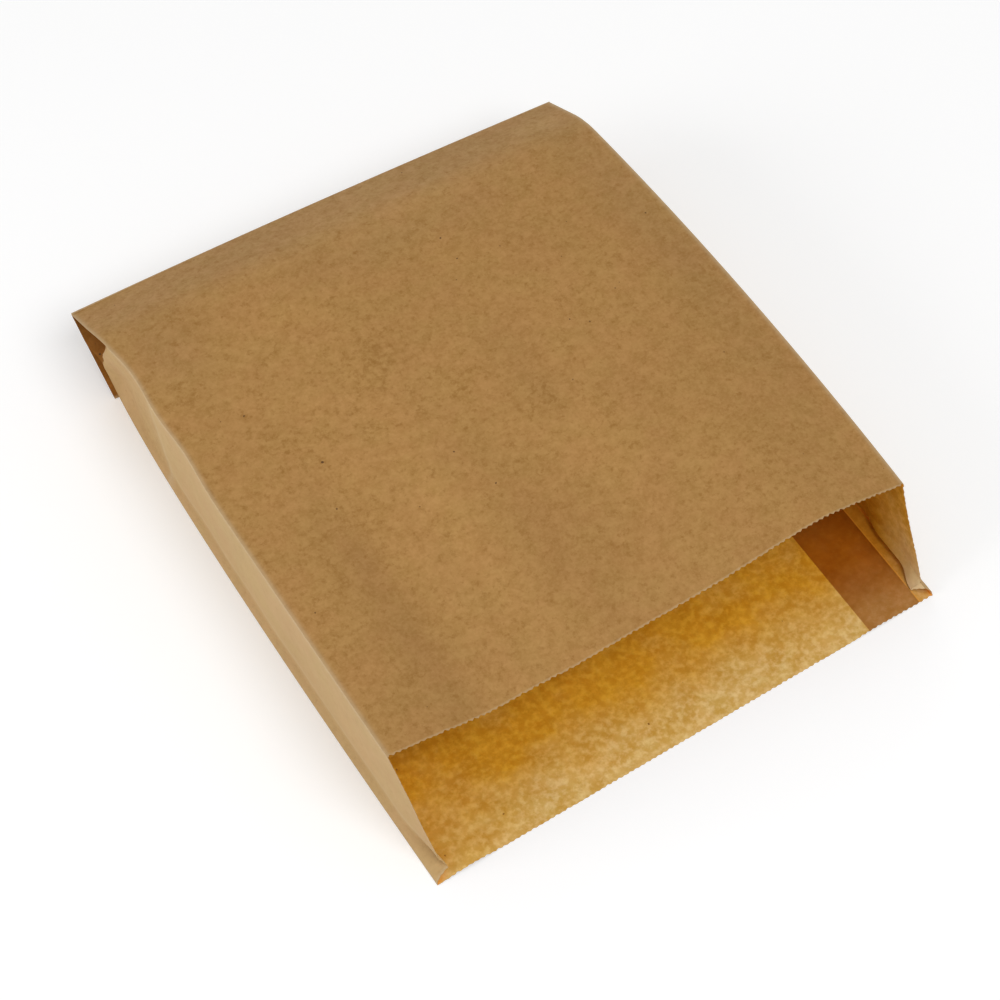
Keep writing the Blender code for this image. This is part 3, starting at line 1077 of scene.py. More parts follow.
        # Painted shade grows with the way from the mouth.
        depth = smooth_step(from_mouth / plan.depth_shade_reach)
        low, pale, deep_shade = {}, {}, {}
        for side, gusset in self.gussets.items():
            places, fold = gusset.places(share)
            lower_end = smooth_step((places - plan.painted_light_from) / plan.painted_light_run)
            low[side] = plan.foot_layer_shade * smooth_step((places - fold) / plan.fold_run + plan.foot_lead)
            pale[side] = lower_end * bell(from_mouth, plan.painted_light_reach)
            deep_shade[side] = depth + (1.0 - depth) * (1.0 - places)
        # Painted shade over the seam, a little lighter near the mouth, and on the strip beside it.
        seam = 1.0 - plan.seam_rim_light * bell(from_mouth, plan.seam_rim_light_reach)
        stacked_shade = np.where(doubled, seam, self.beside_seam(plan.seam_strip_shade))
        from_left = (1.0 + self.grid.back_across(self.sheet)) * self.sheet.half_width
        # Painted shade in the left corner inside.
        corner = plan.corner_shade * bell(from_left, plan.corner_shade_reach)
        inner_shade = plan.inner_gusset_shade * plan.even_shade
        return {
            Mark.FOLD: self.fold_marks(share, 0.0, 0.0),
            Mark.LAYERS: self.ring(0.0, low, plan.foot_layer_shade, stacked_shade, rows),
            Mark.PALE: self.ring(0.0, pale, 0.0, 0.0, rows),
            Mark.DEPTH: self.ring(depth, deep_shade, depth, depth + (1.0 - depth) * corner, rows),
            Mark.SHADE: self.even_ring(inner_shade, plan.even_shade, rows),
            Mark.RUBBED: self.even_ring(plan.even_rub, plan.even_rub, rows),
            Mark.COOL: self.even_ring(0.0, 0.0, rows),
        }

    def outer_skin(self, share: Array) -> Skin:
        """Outer face, row by row round the tube.

        A row runs along the front panel from left to right, down the right gusset, back
        along the back panel and up the left gusset. The glued flap is two sheets thick.

        Args:
            share: shares of the tube's length, as a column.

        Returns:
            The skin.
        """
        sheet, paper = self.sheet, self.sheet.paper
        columns = self.grid.back_across(sheet)
        front = self.front.points(share, self.grid.across(sheet)[None, :], 0.0)
        on_flap = share < sheet.flap_end_share + self.grid.flap_step / sheet.back_length / 2
        drop = np.where(on_flap, -2 * paper, 0.0)
        back = self.back.points(self.flap_teeth(share, columns[None, :]), columns[None, :], drop)
        corners = self.back.points(share, EDGES[None, :], 0.0)
        ledge = corners.copy()
        brim = self.back.points(share, EDGES[None, :], drop)
        sides = self.back.flap_sides(share)
        ledge[..., 0] = np.where(on_flap, sides, corners[..., 0] - EDGES * 2 * paper)
        brim[..., 0] = np.where(on_flap, sides, corners[..., 0] - EDGES * 4 * paper)
        walls = {}
        for side, gusset in self.gussets.items():
            top = towards(front[:, side.value], corners[:, side.value], 2 * paper)
            bottom = towards(corners[:, side.value], front[:, side.value], 2 * paper)
            walls[side] = gusset.outer(share, top, bottom)
        right_foot = np.stack((corners[:, 1], ledge[:, 1], brim[:, 1]), axis=1)
        left_foot = np.stack((brim[:, 0], ledge[:, 0], corners[:, 0]), axis=1)
        parts = (front, walls[Side.RIGHT], right_foot, back, left_foot, walls[Side.LEFT][:, ::-1])
        return Skin(np.concatenate(parts, axis=1), self.outer_marks(share))

    def inner_skin(self, share: Array) -> Skin:
        """Inner face, with the same columns as the outer face.

        Across the seam the sheet is doubled, so the inner face stands one sheet higher.

        Args:
            share: shares of the tube's length, as a column.

        Returns:
            The skin.
        """
        sheet, paper = self.sheet, self.sheet.paper
        columns = self.grid.back_across(sheet)
        front = self.front.points(share, self.grid.across(sheet)[None, :], paper)
        doubled = self.grid.over_seam(sheet)
        lift = np.where(doubled, 2 * paper, paper)[None, :]
        back = self.back.points(share, columns[None, :], lift)
        outer_front = self.front.points(share, EDGES[None, :], 0.0)
        outer_back = self.back.points(share, EDGES[None, :], 0.0)
        inner_back = self.back.points(share, EDGES[None, :], paper)
        walls, feet = {}, {}
        for side, gusset in self.gussets.items():
            edges = np.stack((outer_front[:, side.value], outer_back[:, side.value]))
            linings = np.stack((front[:, side.value], inner_back[:, side.value]))
            wall = gusset.inner(share, edges, linings)
            front[:, side.value] = wall[:, 0]
            wall[:, 0] = towards(wall[:, 0], wall[:, 1], paper)
            foot = np.repeat(wall[:, -1:], 3, axis=1)
            foot[..., 0] += side.inward * paper * np.arange(1, 4)
            walls[side], feet[side] = wall, foot
        right, left = walls[Side.RIGHT], walls[Side.LEFT][:, ::-1]
        parts = (front, right, feet[Side.RIGHT], back, feet[Side.LEFT][:, ::-1], left)
        return Skin(np.concatenate(parts, axis=1), self.inner_marks(share, doubled))

    def rim_teeth(self, outer: Array) -> Array:
        """Offsets that cut the knife's teeth into the rim, several for each column.

        Along the rim the cut falls back by half a tooth's depth times one less the
        cosine of the length over the pitch, and worn teeth are shallower by a seeded
        share.

        Args:
            outer: points of the outer face in rows.

        Returns:
            Offsets, a few for each column.
        """
        pitch, count = self.sheet.tooth_pitch, self.grid.rim_points
        rim = outer[-1]
        back = towards(rim, outer[-2], 1.0) - rim
        lengths = np.linalg.norm(np.roll(rim, -1, axis=0) - rim, axis=1)
        start = np.concatenate(((0.0,), np.cumsum(lengths)[:-1]))
        place = np.arange(count) / count
        along = start[:, None] + lengths[:, None] * place
        ways = mix(back, np.roll(back, -1, axis=0), place)
        draw = np.random.default_rng(self.tooth_seed)
        wear = draw.uniform(*self.tooth_wear, int(along.max() / pitch) + 2)
        kept = dict.fromkeys(Side, self.gusset_teeth)
        kept = self.ring(self.front_teeth, kept, self.back_teeth, self.back_teeth, 1)[0]
        depth = self.sheet.tooth_depth * kept[:, None] * wear[(along / pitch).astype(int)]
        fall = depth * (1.0 - np.cos(math.tau * along / pitch)) / 2
        return ways * fall[..., None]

    def rim_points(self, skin: Array, teeth: Array) -> Array:
        """Points of a face's rim, a few along each column's edge, moved by the teeth.

        Args:
            skin: points of the face in rows.
            teeth: offsets along the rim.

        Returns:
            Points, a few for each column.
        """
        place = np.arange(self.grid.rim_points) / self.grid.rim_points
        return mix(skin[-1], np.roll(skin[-1], -1, axis=0), place) + teeth

    def nose_tip(self, row: Array) -> tuple[Array, Array]:
        """Ring of the pressed layers' edge at the end crease, drawn out and narrowed.

        Args:
            row: the outer face's first row of points.

        Returns:
            The columns in the ring, and the tip's points.
        """
        down = 2 * self.grid.half_gusset_columns
        right = len(self.grid.across(self.sheet))
        columns = np.r_[0:right + 1, right + down + 1:len(row) - down]
        middle = math.pi + (self.lie.flap_slope - self.lie.nose_slope) / 2
        out = np.array((0.0, -math.cos(middle), -math.sin(middle))) * self.grid.nose_tip
        up = np.array((0.0, math.sin(middle), -math.cos(middle)))
        heights = row[columns] @ up
        halfway = (heights.max() + heights.min()) / 2
        return columns, row[columns] + out + up * ((halfway - heights) / 2)[:, None]

    def add_skin(self, shell: Shell, skin: Skin, face: Face, teeth: Array) -> tuple[Array, Array]:
        """Add one face of the sheet, its last row of faces drawn to the toothed rim.

        Args:
            shell: what the mesh is put together in.
            skin: the face's points and marks.
            face: the face's kind.
            teeth: offsets along the rim.

        Returns:
            Numbers of the grid's points in rows, and those of the rim's points in turn.
        """
        body = {mark: values[:-1] for mark, values in skin.marks.items()}
        last = {mark: np.repeat(values[-1], self.grid.rim_points) for mark, values in skin.marks.items()}
        grid = shell.add_points(skin.points[:-1], body)
        rim = shell.add_points(self.rim_points(skin.points, teeth), last)
        near, far = grid[:-1], grid[1:]
        corners = (near, np.roll(near, -1, axis=1), np.roll(far, -1, axis=1), far)
        shell.add_faces(np.stack(corners, axis=-1).reshape(-1, 4), face)
        end = grid[-1][:, None]
        band = (np.roll(end, -1, axis=0), end, rim, np.roll(rim[:, :1], -1, axis=0))
        shell.add_faces(np.concatenate(band, axis=1), face)
        return grid, rim.ravel()

    def build(self, finishes: dict[Face, Material]) -> bpy.types.Object:
        """Make the bag's mesh and dress it.

        Args:
            finishes: a material for each kind of face.

        Returns:
            The bag's object.
        """
        share = self.grid.rows(self.sheet, self.lie)
        lined = share[:, 0] * self.sheet.back_length > self.grid.lining_start
        outer, inner = self.outer_skin(share), self.inner_skin(share[lined])
        teeth = self.rim_teeth(outer.points)
        shell = Shell()
        _, outer_rim = self.add_skin(shell, outer, Face.OUTSIDE, teeth)
        lining, inner_rim = self.add_skin(shell, inner, Face.INSIDE, teeth)
        edge = (outer_rim, np.roll(outer_rim, -1), np.roll(inner_rim, -1), inner_rim)
        shell.add_faces(np.stack(edge, axis=1), Face.CUT_EDGE)
        shell.add_faces(lining[:1], Face.INSIDE)
        ring, points = self.nose_tip(outer.points[0])
        # The tip's ring is marked as a fold and with painted light, shade and sheen.
        marks = {mark: np.full(len(points), float(mark in self.tip_marks)) for mark in Mark}
        tip = shell.add_points(points, marks)
        closing = (np.roll(ring, -1), ring, tip, np.roll(tip, -1))
        shell.add_faces(np.stack(closing, axis=1), Face.OUTSIDE)
        shell.add_faces(tip[None, :], Face.OUTSIDE)
        mesh = bpy.data.meshes.new("kraft_bag")
        mesh.from_pydata(self.centred(np.concatenate(shell.points)), [], shell.faces)
        mesh.polygons.foreach_set("material_index", np.array(shell.kinds, dtype=np.int32))
        for mark, values in shell.marks.items():
            attribute = mesh.attributes.new(mark.value, "FLOAT", "POINT")
            attribute.data.foreach_set("value", np.concatenate(values).astype(np.float32))
        self.close(mesh)
        for face in Face:
            mesh.materials.append(finishes[face])
        bag = bpy.data.objects.new("kraft_bag", mesh)
        bpy.context.collection.objects.link(bag)
        return bag

    def centred(self, points: Array) -> Array:
        """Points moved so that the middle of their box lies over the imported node's.

        Args:
            points: all of the mesh's points.

        Returns:
            The moved points.
        """
        low, high = (np.array(corner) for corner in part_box(NODE))
        middle = (points.min(axis=0) + points.max(axis=0)) / 2
        shift = (low + high) / 2 - middle
        shift[2] = 0.0
        return points + shift

    def close(self, mesh: bpy.types.Mesh) -> None:
        """Weld the mesh, turn its faces outwards and shade it smooth between its folds.

        Args:
            mesh: the bag's mesh.
        """
        work = bmesh.new()
        work.from_mesh(mesh)
        bmesh.ops.remove_doubles(work, verts=work.verts, dist=self.grid.weld)
        bmesh.ops.dissolve_degenerate(work, edges=work.edges, dist=self.grid.weld)
        bmesh.ops.recalc_face_normals(work, faces=work.faces)
        work.to_mesh(mesh)
        work.free()
        mesh.shade_smooth()
        mesh.set_sharp_from_angle(angle=self.sharp_from)


class NodeBoard:
    """A small helper that lays out and links shader nodes."""

    def __init__(self, tree: bpy.types.NodeTree) -> None:
        """Keep the tree that nodes are added to.

        Args:
            tree: the node tree.
        """
        self.tree = tree

    def node(self, kind: str, inputs: dict | None = None, **settings: object) -> bpy.types.Node:
        """Add a node, set its properties and fill or link its inputs.

        Args:
            kind: the node's type name.
            inputs: values or sockets by input name or number.
            settings: properties of the node.

        Returns:
            The node.
        """
        made = self.tree.nodes.new(kind)
        for name, value in settings.items():
            setattr(made, name, value)
        for name, value in (inputs or {}).items():
            if isinstance(value, Socket):
                self.tree.links.new(value, made.inputs[name])
            else:
                made.inputs[name].default_value = value
        return made

    def math(self, operation: str, *values: object, clamp: bool = False) -> Socket:
        """Add a Math node with numbers or sockets as its inputs, and give its result."""
        inputs = dict(enumerate(values))
        return self.node("ShaderNodeMath", inputs, operation=operation, use_clamp=clamp).outputs[0]

    def ramp(self, value: Socket, low: object, high: object) -> Socket:
        """Ease a value from 0 at low to 1 at high.

        Args:
            value: the value's socket.
            low: where the ramp leaves 0, a number or a socket.
            high: where it reaches 1, a number or a socket.

        Returns:
            The eased value's socket.
        """
        inputs = {"Value": value, "From Min": low, "From Max": high}
        made = self.node("ShaderNodeMapRange", inputs, interpolation_type="SMOOTHSTEP")
        return made.outputs["Result"]

    def blend(self, factor: object, first: object, second: object, kind: str = "MIX") -> Socket:
        """Mix two colours.

        Args:
            factor: share of the second colour.
            first: the first colour, a value or a socket.
            second: the second colour.
            kind: the blend's type.

        Returns:
            The mixed colour's socket.
        """
        colours = [(*value, 1.0) if isinstance(value, tuple) else value for value in (first, second)]
        inputs = {0: factor, 6: colours[0], 7: colours[1]}
        return self.node("ShaderNodeMix", inputs, data_type="RGBA", blend_type=kind).outputs[2]

    def noise(self, vector: Socket, scale: object, layers: tuple[float, float]) -> Socket:
        """Add a noise texture.

        Args:
            vector: the coordinates' socket.
            scale: how many features to a metre, a number or a socket.
            layers: number of finer layers, and their strength.

        Returns:
            The noise's socket.
        """
        inputs = {"Vector": vector, "Scale": scale, "Detail": layers[0], "Roughness": layers[1]}
        return self.node("ShaderNodeTexNoise", inputs).outputs["Fac"]


class GroupBoard(NodeBoard):
    """A board on a new shader node group."""

    def __init__(self, name: str, inputs: dict[str, float | None], outputs: tuple[str, ...]) -> None:
        """Make the group with its sockets.

        Args:
            name: the group's name.
            inputs: names with default values; None stands for a vector.
            outputs: names of the values that it puts out.
        """
        super().__init__(bpy.data.node_groups.new(name, "ShaderNodeTree"))
        sockets = self.tree.interface
        for label, value in inputs.items():
            kind = "NodeSocketVector" if value is None else "NodeSocketFloat"
            made = sockets.new_socket(name=label, in_out="INPUT", socket_type=kind)
            if value is not None:
                made.default_value = value
        for label in outputs:
            sockets.new_socket(name=label, in_out="OUTPUT", socket_type="NodeSocketFloat")
        self.given = self.node("NodeGroupInput").outputs
        self.result = self.node("NodeGroupOutput").inputs

    def put_out(self, **values: Socket) -> bpy.types.NodeTree:
        """Link values to the outputs of their names, and give the group."""
        for label, value in values.items():
            self.tree.links.new(value, self.result[label])
        return self.tree


class FinishBoard(NodeBoard):
    """A board on a finish's material, with the coordinates and the marks at hand."""

    def __init__(self, tree: bpy.types.NodeTree, groups: dict[str, bpy.types.NodeTree]) -> None:
        """Add the nodes that read the coordinates and the marks.

        Args:
            tree: the material's node tree.
            groups: the shared node groups by name.
        """
        super().__init__(tree)
        self.groups = groups
        self.place = self.node("ShaderNodeTexCoord").outputs["Object"]
        self.marks = {}
        for mark in Mark:
            self.marks[mark] = self.node("ShaderNodeAttribute", attribute_name=mark.value).outputs["Fac"]

    def effect(self, name: str, inputs: dict) -> bpy.types.bpy_prop_collection:
        """Place a shared node group with its inputs, and give its outputs."""
        inputs = {"Vector": self.place, **inputs}
        return self.node("ShaderNodeGroup", inputs, node_tree=self.groups[name]).outputs

    def marked(self, mark: Mark, strength: float) -> Socket:
        """A mark's value times a strength."""
        return self.math("MULTIPLY", self.marks[mark], strength)


@dataclass(frozen=True)
class PaperEffects:
    """Values of the shader node groups that the kraft finishes share.

    Layers are a noise's number of finer layers and their strength. Edges are where a
    ramp leaves 0 and where it reaches 1.
    """

    cloud_layers: tuple[float, float] = (4.0, 0.6)
    cloud_edges: tuple[float, float] = (0.3, 0.7)
    flock_layers: tuple[float, float] = (3.0, 0.6)
    flock_edges: tuple[float, float] = (0.38, 0.72)
    ragged_scale: float = 1500.0
    ragged_way: float = 0.0006
    dot_least: float = 0.4
    dot_core: float = 0.45
    patch_layers: tuple[float, float] = (3.0, 0.6)
    patch_edges: tuple[float, float] = (0.35, 0.65)
    patch_gain: float = 0.9
    patch_least: float = 0.3
    densest: float = 1.2
    flake_layers: tuple[float, float] = (5.0, 0.70)
    flake_start: float = 0.515
    flake_fall: float = -0.11
    flake_run: float = 0.24
    fibre_layers: tuple[float, float] = (3.0, 0.6)
    fibre_stretch: tuple[float, float, float] = (1.0, 0.45, 1.0)
    pit_layers: tuple[float, float] = (2.0, 0.5)
    pit_share: float = 0.8

    def formation(self) -> bpy.types.NodeTree:
        """Cloudy unevenness of pulp in the sheet: wide clouds with flocks of fibres in them.

        Returns:
            The node group.
        """
        names = {"Vector": None, "Clouds": 260.0, "Flocks": 900.0, "Flock Share": 0.4}
        board = GroupBoard("pulp_formation", names, ("Cloud", "Flock"))
        vector = board.given["Vector"]
        clouds = board.noise(vector, board.given["Clouds"], self.cloud_layers)
        flocks = board.noise(vector, board.given["Flocks"], self.flock_layers)
        wide = board.ramp(clouds, *self.cloud_edges)
        fine = board.ramp(flocks, *self.flock_edges)
        finer = board.math("SUBTRACT", fine, wide)
        both = board.math("MULTIPLY_ADD", finer, board.given["Flock Share"], wide)
        return board.put_out(Cloud=both, Flock=fine)

    def specks(self) -> bpy.types.NodeTree:
        """Small dark specks of bark: a few cells of a fine scatter hold a ragged dot each.

        Returns:
            The node group.
        """
        names = {"Vector": None, "Scatter": 420.0, "Amount": 0.02, "Size": 0.17}
        board = GroupBoard("bark_specks", names, ("Speck",))
        vector = board.given["Vector"]
        ragged = board.node("ShaderNodeTexNoise", {"Vector": vector, "Scale": self.ragged_scale})
        inputs = {0: ragged.outputs["Color"], "Scale": self.ragged_way}
        way = board.node("ShaderNodeVectorMath", inputs, operation="SCALE")
        moved = board.node("ShaderNodeVectorMath", {0: vector, 1: way.outputs[0]}, operation="ADD")
        inputs = {"Vector": moved.outputs[0], "Scale": board.given["Scatter"]}
        cells = board.node("ShaderNodeTexVoronoi", inputs, feature="F1").outputs
        parts = board.node("ShaderNodeSeparateColor", {0: cells["Color"]}).outputs
        has_dot = board.math("LESS_THAN", parts["Red"], board.given["Amount"])
        growth = board.math("ADD", parts["Green"], self.dot_least)
        size = board.math("MULTIPLY", board.given["Size"], growth)
        dot = board.ramp(cells["Distance"], size, board.math("MULTIPLY", size, self.dot_core))
        return board.put_out(Speck=board.math("MULTIPLY", has_dot, dot))

    def scuffs(self) -> bpy.types.NodeTree:
        """Rubbed marks: small ragged flakes, closer together where the paper is more rubbed.

        A flake shows where fractal noise passes a threshold that falls as the rubbing
        and a wide patchy noise grow.

        Returns:
            The node group.
        """
        names = {"Vector": None, "Rubbed": 0.25, "Patches": 60.0, "Marks": 430.0, "Amount": 0.5}
        board = GroupBoard("rubbed_marks", names, ("Scuff",))
        vector = board.given["Vector"]
        patch = board.noise(vector, board.given["Patches"], self.patch_layers)
        patch = board.ramp(patch, *self.patch_edges)
        patch = board.math("MULTIPLY_ADD", patch, self.patch_gain, self.patch_least)
        dense = board.math("MULTIPLY", board.given["Rubbed"], patch)
        dense = board.math("MINIMUM", dense, self.densest)
        low = board.math("MULTIPLY_ADD", dense, self.flake_fall, self.flake_start)
        flakes = board.noise(vector, board.given["Marks"], self.flake_layers)
        flakes = board.ramp(flakes, low, board.math("ADD", low, self.flake_run))
        return board.put_out(Scuff=board.math("MULTIPLY", flakes, board.given["Amount"]))

    def grain(self) -> bpy.types.NodeTree:
        """Height of the paper's surface: fibres a little longer along the bag, and pits.

        Returns:
            The node group.
        """
        names = {"Vector": None, "Fibres": 2600.0, "Pits": 900.0}
        board = GroupBoard("paper_grain", names, ("Height",))
        vector = board.given["Vector"]
        drawn = board.node("ShaderNodeMapping", {"Vector": vector, "Scale": self.fibre_stretch})
        fibres = board.noise(drawn.outputs[0], board.given["Fibres"], self.fibre_layers)
        pits = board.noise(vector, board.given["Pits"], self.pit_layers)
        return board.put_out(Height=board.math("MULTIPLY_ADD", pits, self.pit_share, fibres))


@dataclass(frozen=True)
class KraftFinish:
    """Kraft paper's colours and the strength of each effect on them."""

    name: str
    light: Colour
    dark: Colour
    flock: Colour
    speck: Colour
    scuff: Colour
    fold: Colour = WHITE
    # Painted shade where layers stack, in the hollow and over the seam.
    doubled: Colour = WHITE
    layer_shade_dark: Colour = WHITE
    # Painted light on the gussets.
    pale: Colour = WHITE
    # Painted shade far inside the bag.
    deep_shade: Colour = WHITE
    rose: Colour = (1.0, 0.955, 0.97)
    olive: Colour = (0.975, 1.0, 0.95)
    lit: Colour = (1.13, 1.14, 1.16)
    shaded: Colour = (0.85, 0.83, 0.81)
    # Tint of the painted sheen.
    cool: Colour = (0.91, 0.96, 1.10)
    hues: float = 110.0
    hue_layers: tuple[float, float] = (4.0, 0.65)
    hue_edges: tuple[float, float] = (0.35, 0.65)
    shades: float = 22.0
    shade_layers: tuple[float, float] = (3.0, 0.6)
    shade_spread: float = 0.35
    clouds: float = 260.0
    flocks: float = 900.0
    flock_share: float = 0.4
    flock_mix: float = 0.25
    scuff_mix: float = 0.5
    # Share of the rubbed marks left out where light is painted.
    unscuffed_in_painted_light: float = 0.8
    fold_mix: float = 0.35
    layer_shade_mix: float = 0.0
    painted_light_mix: float = 0.0
    deep_shade_mix: float = 0.0
    deep_shade_spread: float = 1.6
    patches: float = 62.0
    patch_layers: tuple[float, float] = (4.0, 0.6)
    tint_mix: float = 0.5
    roughness: tuple[float, float] = (0.68, 0.80)
    specular: float = 0.22
    bump: float = 0.35
    bump_depth: float = 0.00006

    def build(self, groups: dict[str, bpy.types.NodeTree]) -> Material:
        """Make the material.

        Args:
            groups: the shared node groups by name.

        Returns:
            The material.
        """
        material = bpy.data.materials.new(self.name)
        material.use_nodes = True
        board = FinishBoard(material.node_tree, groups)
        inputs = {"Clouds": self.clouds, "Flocks": self.flocks, "Flock Share": self.flock_share}
        pulp = board.effect("formation", inputs)
        colour = self.worn(board, self.shaded_sheet(board, self.plain_sheet(board, pulp)))
        inputs = {"Value": pulp["Cloud"], "To Min": self.roughness[1], "To Max": self.roughness[0]}
        rough = board.node("ShaderNodeMapRange", inputs).outputs["Result"]
        height = board.effect("grain", {})["Height"]
        inputs = {"Height": height, "Strength": self.bump, "Distance": self.bump_depth}
        normal = board.node("ShaderNodeBump", inputs).outputs["Normal"]
        shader = material.node_tree.nodes["Principled BSDF"].inputs
        for label, value in (("Base Color", colour), ("Roughness", rough), ("Normal", normal)):
            board.tree.links.new(value, shader[label])
        shader["Specular IOR Level"].default_value = self.specular
        shader["Metallic"].default_value = 0.0
        return material

    def plain_sheet(self, board: FinishBoard, pulp: object) -> Socket:
        """Colour of the sheet: clouds and flocks, then painted light, painted shade where layers stack
        and painted shade far inside the bag.

        Args:
            board: the material's board.
            pulp: outputs of the pulp's node group.

        Returns:
            The colour's socket.
        """
        colour = board.blend(pulp["Cloud"], self.dark, self.light)
        colour = board.blend(board.math("MULTIPLY", pulp["Flock"], self.flock_mix), colour, self.flock)
        colour = board.blend(board.marked(Mark.PALE, self.painted_light_mix), colour, self.pale)
        stacked_shade = board.blend(pulp["Cloud"], self.layer_shade_dark, self.doubled)
        colour = board.blend(board.marked(Mark.LAYERS, self.layer_shade_mix), colour, stacked_shade)
        patchy = board.math("SUBTRACT", board.noise(board.place, self.patches, self.patch_layers), 0.5)
        deep_shade = board.math("MULTIPLY_ADD", patchy, self.deep_shade_spread, board.marks[Mark.DEPTH], clamp=True)
        return board.blend(board.math("MULTIPLY", deep_shade, self.deep_shade_mix), colour, self.deep_shade, "MULTIPLY")

    def shaded_sheet(self, board: FinishBoard, colour: Socket) -> Socket:
        """The sheet's colour with its wide hues and painted shades, and a painted bluish-grey sheen
        where it is marked so.

        Args:
            board: the material's board.
            colour: the colour's socket.

        Returns:
            The new colour's socket.
        """
        hue = board.ramp(board.noise(board.place, self.hues, self.hue_layers), *self.hue_edges)
        colour = board.blend(self.tint_mix, colour, board.blend(hue, self.rose, self.olive), "MULTIPLY")
        wide = board.math("SUBTRACT", board.noise(board.place, self.shades, self.shade_layers), 0.5)
        shade = board.math("MULTIPLY_ADD", wide, self.shade_spread, board.marks[Mark.SHADE], clamp=True)
        colour = board.blend(1.0, colour, board.blend(shade, self.lit, self.shaded), "MULTIPLY")
        return board.blend(board.marks[Mark.COOL], colour, self.cool, "MULTIPLY")

    def worn(self, board: FinishBoard, colour: Socket) -> Socket:
        """The colour with rubbed marks, fewer where light is painted, then fold lines, partly fibre wear
        and partly painted highlight, and specks.

        Args:
            board: the material's board.
            colour: the colour's socket.

        Returns:
            The new colour's socket.
        """
        fall = -self.unscuffed_in_painted_light * self.scuff_mix
        amount = board.math("MULTIPLY_ADD", board.marks[Mark.PALE], fall, self.scuff_mix)
        inputs = {"Rubbed": board.marks[Mark.RUBBED], "Amount": amount}
        colour = board.blend(board.effect("scuffs", inputs)["Scuff"], colour, self.scuff)
        colour = board.blend(board.marked(Mark.FOLD, self.fold_mix), colour, self.fold)
        return board.blend(board.effect("specks", {})["Speck"], colour, self.speck)


# Outer face: the fold colour is partly fibre wear and partly painted highlight; the light tan for the
# gussets is painted light and the dark orange pair painted shade in the hollow.
OUTSIDE = KraftFinish(
    name="kraft_outside",
    light=(0.462, 0.255, 0.083),
    dark=(0.366, 0.190, 0.052),
    flock=(0.45, 0.248, 0.080),
    speck=(0.10, 0.045, 0.015),
    scuff=(0.250, 0.108, 0.016),
    fold=(0.56, 0.43, 0.26),
    doubled=(0.37, 0.150, 0.022),
    layer_shade_dark=(0.25, 0.090, 0.008),
    pale=(0.545, 0.375, 0.182),
    scuff_mix=0.56,
    fold_mix=0.5,
    layer_shade_mix=0.95,
    painted_light_mix=0.85,
    tint_mix=0.6,
    hues=60.0,
    shade_spread=0.6,
)
# Inner face: a lighter, more golden copy of the kraft colours with brighter flecks, as painted light;
# painted shade over the seam and far inside, painted light at the gussets' lower ends.
INSIDE = KraftFinish(
    name="kraft_inside_painted_light",
    light=(0.83, 0.566, 0.209),
    dark=(0.623, 0.357, 0.067),
    flock=(1.0, 0.80, 0.43),
    speck=(0.30, 0.12, 0.02),
    scuff=(0.42, 0.18, 0.02),
    # Painted bright glow along the creases and in the crevices.
    fold=(0.90, 0.36, 0.035),
    doubled=(0.405, 0.156, 0.036),
    layer_shade_dark=(0.313, 0.110, 0.020),
    pale=(0.86, 0.71, 0.45),
    deep_shade=(0.93, 0.68, 0.13),
    clouds=120.0,
    flocks=420.0,
    flock_mix=0.33,
    scuff_mix=0.20,
    fold_mix=0.75,
    deep_shade_spread=1.1,
    layer_shade_mix=0.97,
    painted_light_mix=0.65,
    deep_shade_mix=1.0,
    specular=0.06,
)
CUT_EDGE = KraftFinish(
    name="kraft_cut_edge",
    light=(0.50, 0.33, 0.145),
    dark=(0.40, 0.24, 0.09),
    flock=(0.47, 0.30, 0.125),
    speck=(0.3, 0.15, 0.05),
    scuff=(0.4, 0.24, 0.1),
    scuff_mix=0.2,
    fold_mix=0.0,
)


@dataclass(frozen=True)
class Lamp:
    """A large soft disc lamp: where it stands and the light that it gives."""

    name: str
    azimuth: float
    elevation: float
    level: float
    size: float = 1.1
    distance: float = 1.6

    @property
    def power(self) -> float:
        """Power in watts that gives the level, 1 for a white sheet turned to it seen as white."""
        return self.level * math.pi**2 * self.distance**2


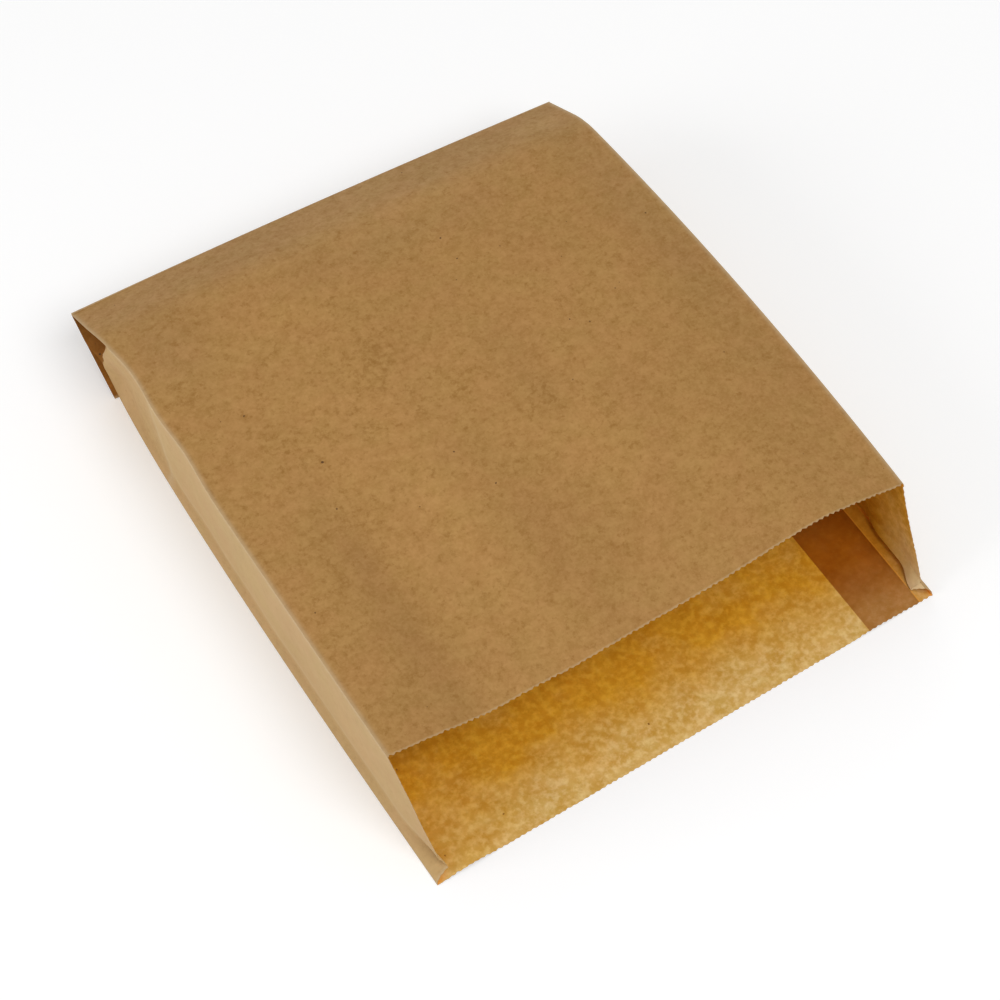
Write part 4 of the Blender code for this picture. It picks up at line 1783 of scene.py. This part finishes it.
@dataclass(frozen=True)
class Studio:
    """Pale floor, soft light and the camera."""

    floor_size: float = 6.0
    floor_drop: float = 0.00005
    floor_colour: Colour = (0.86, 0.86, 0.86)
    floor_lift: float = 0.22
    floor_roughness: float = 0.9
    sky_strength: float = 0.45
    lamps: tuple[Lamp, ...] = (
        Lamp("key_lamp", math.radians(12.0), math.radians(55.0), 0.46),
        Lamp("side_lamp", math.radians(-102.0), math.radians(18.0), 0.40),
        Lamp("rim_lamp", math.radians(160.0), math.radians(16.0), 0.12),
    )
    azimuth: float = math.radians(-31.9)
    elevation: float = math.radians(55.1)
    distance: float = 0.7595
    target: tuple[float, float, float] = (-0.0044, -0.0088, 0.0)
    focal_pixels: float = 2400.0
    image_pixels: float = 1000.0
    sensor: float = 36.0
    clip_start: float = 0.01

    def direction(self, azimuth: float, elevation: float) -> Vector:
        """Unit way from the target to a place seen at an azimuth and an elevation."""
        level = math.cos(elevation)
        return Vector((math.sin(azimuth) * level, -math.cos(azimuth) * level, math.sin(elevation)))

    def aim(self, thing: bpy.types.Object, azimuth: float, elevation: float, distance: float) -> None:
        """Place a camera or a lamp so that it looks at the target.

        Args:
            thing: the object to place.
            azimuth: its azimuth.
            elevation: its elevation.
            distance: its distance from the target.
        """
        way = self.direction(azimuth, elevation)
        thing.location = Vector(self.target) + way * distance
        thing.rotation_euler = way.to_track_quat("Z", "Y").to_euler()
        bpy.context.collection.objects.link(thing)

    def floor(self) -> bpy.types.Object:
        """Large white sheet under the bag, which keeps the bag's shadow.

        For rays from the camera, and for glossy and transmitted ones, a little light is
        added, so that its open parts come out white.

        Returns:
            The floor's object.
        """
        half = self.floor_size / 2
        corners = [(x, y, -self.floor_drop) for x in (-half, half) for y in (-half, half)]
        mesh = bpy.data.meshes.new("floor")
        mesh.from_pydata(corners, [], [(0, 2, 3, 1)])
        mesh.materials.append(self.floor_material())
        floor = bpy.data.objects.new("floor", mesh)
        bpy.context.collection.objects.link(floor)
        return floor

    def seen_ray(self, board: NodeBoard) -> Socket:
        """One for a ray that shows the background, straight, reflected or transmitted.

        Args:
            board: the board to add nodes to.

        Returns:
            The mask's socket.
        """
        path = board.node("ShaderNodeLightPath").outputs
        seen = board.math("MAXIMUM", path["Is Camera Ray"], path["Is Glossy Ray"])
        return board.math("MAXIMUM", seen, path["Is Transmission Ray"])

    def floor_material(self) -> Material:
        """Matt white paper backdrop.

        Returns:
            The material.
        """
        material = bpy.data.materials.new("backdrop_white")
        material.use_nodes = True
        board = NodeBoard(material.node_tree)
        shader = material.node_tree.nodes["Principled BSDF"]
        shader.inputs["Base Color"].default_value = (*self.floor_colour, 1.0)
        shader.inputs["Roughness"].default_value = self.floor_roughness
        shader.inputs["Specular IOR Level"].default_value = 0.0
        shader.inputs["Emission Color"].default_value = (*WHITE, 1.0)
        lift = board.math("MULTIPLY", self.seen_ray(board), self.floor_lift)
        board.tree.links.new(lift, shader.inputs["Emission Strength"])
        return material

    def world(self) -> None:
        """White surroundings, seen as white and lighting the bag at a plain level."""
        world = bpy.data.worlds.new("studio_world")
        world.use_nodes = True
        board = NodeBoard(world.node_tree)
        ground = world.node_tree.nodes["Background"]
        ground.inputs["Color"].default_value = (*WHITE, 1.0)
        spare = 1.0 - self.sky_strength
        strength = board.math("MULTIPLY_ADD", self.seen_ray(board), spare, self.sky_strength)
        world.node_tree.links.new(strength, ground.inputs["Strength"])
        bpy.context.scene.world = world

    def light(self) -> None:
        """Key from the front, side light on the left gusset and a rim light on the nose."""
        for lamp in self.lamps:
            light = bpy.data.lights.new(lamp.name, "AREA")
            light.shape = "DISK"
            light.size = lamp.size
            light.energy = lamp.power
            made = bpy.data.objects.new(lamp.name, light)
            self.aim(made, lamp.azimuth, lamp.elevation, lamp.distance)

    def camera(self) -> None:
        """Camera at the photograph's viewing angle."""
        lens = bpy.data.cameras.new("camera")
        lens.sensor_width = self.sensor
        lens.lens = self.sensor * self.focal_pixels / self.image_pixels
        lens.clip_start = self.clip_start
        made = bpy.data.objects.new("camera", lens)
        self.aim(made, self.azimuth, self.elevation, self.distance)
        bpy.context.scene.camera = made

    def build(self) -> None:
        """Set up the floor, the light, the camera and the plain view."""
        self.floor()
        self.world()
        self.light()
        self.camera()
        bpy.context.scene.view_settings.view_transform = "Standard"


def main() -> None:
    """Build the studio and the bag, and say what was made."""
    logging.basicConfig(level=logging.INFO, format="%(name)s: %(message)s")
    Studio().build()
    effects = PaperEffects()
    groups = {"formation": effects.formation(), "specks": effects.specks()}
    groups.update(scuffs=effects.scuffs(), grain=effects.grain())
    kinds = {Face.OUTSIDE: OUTSIDE, Face.INSIDE: INSIDE, Face.CUT_EDGE: CUT_EDGE}
    finishes = {face: finish.build(groups) for face, finish in kinds.items()}
    bag = PaperBag().build(finishes)
    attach(bag, "root")
    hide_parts(NODE)
    LOG.info("%s: %d faces", bag.name, len(bag.data.polygons))


if __name__ == "__main__":
    main()
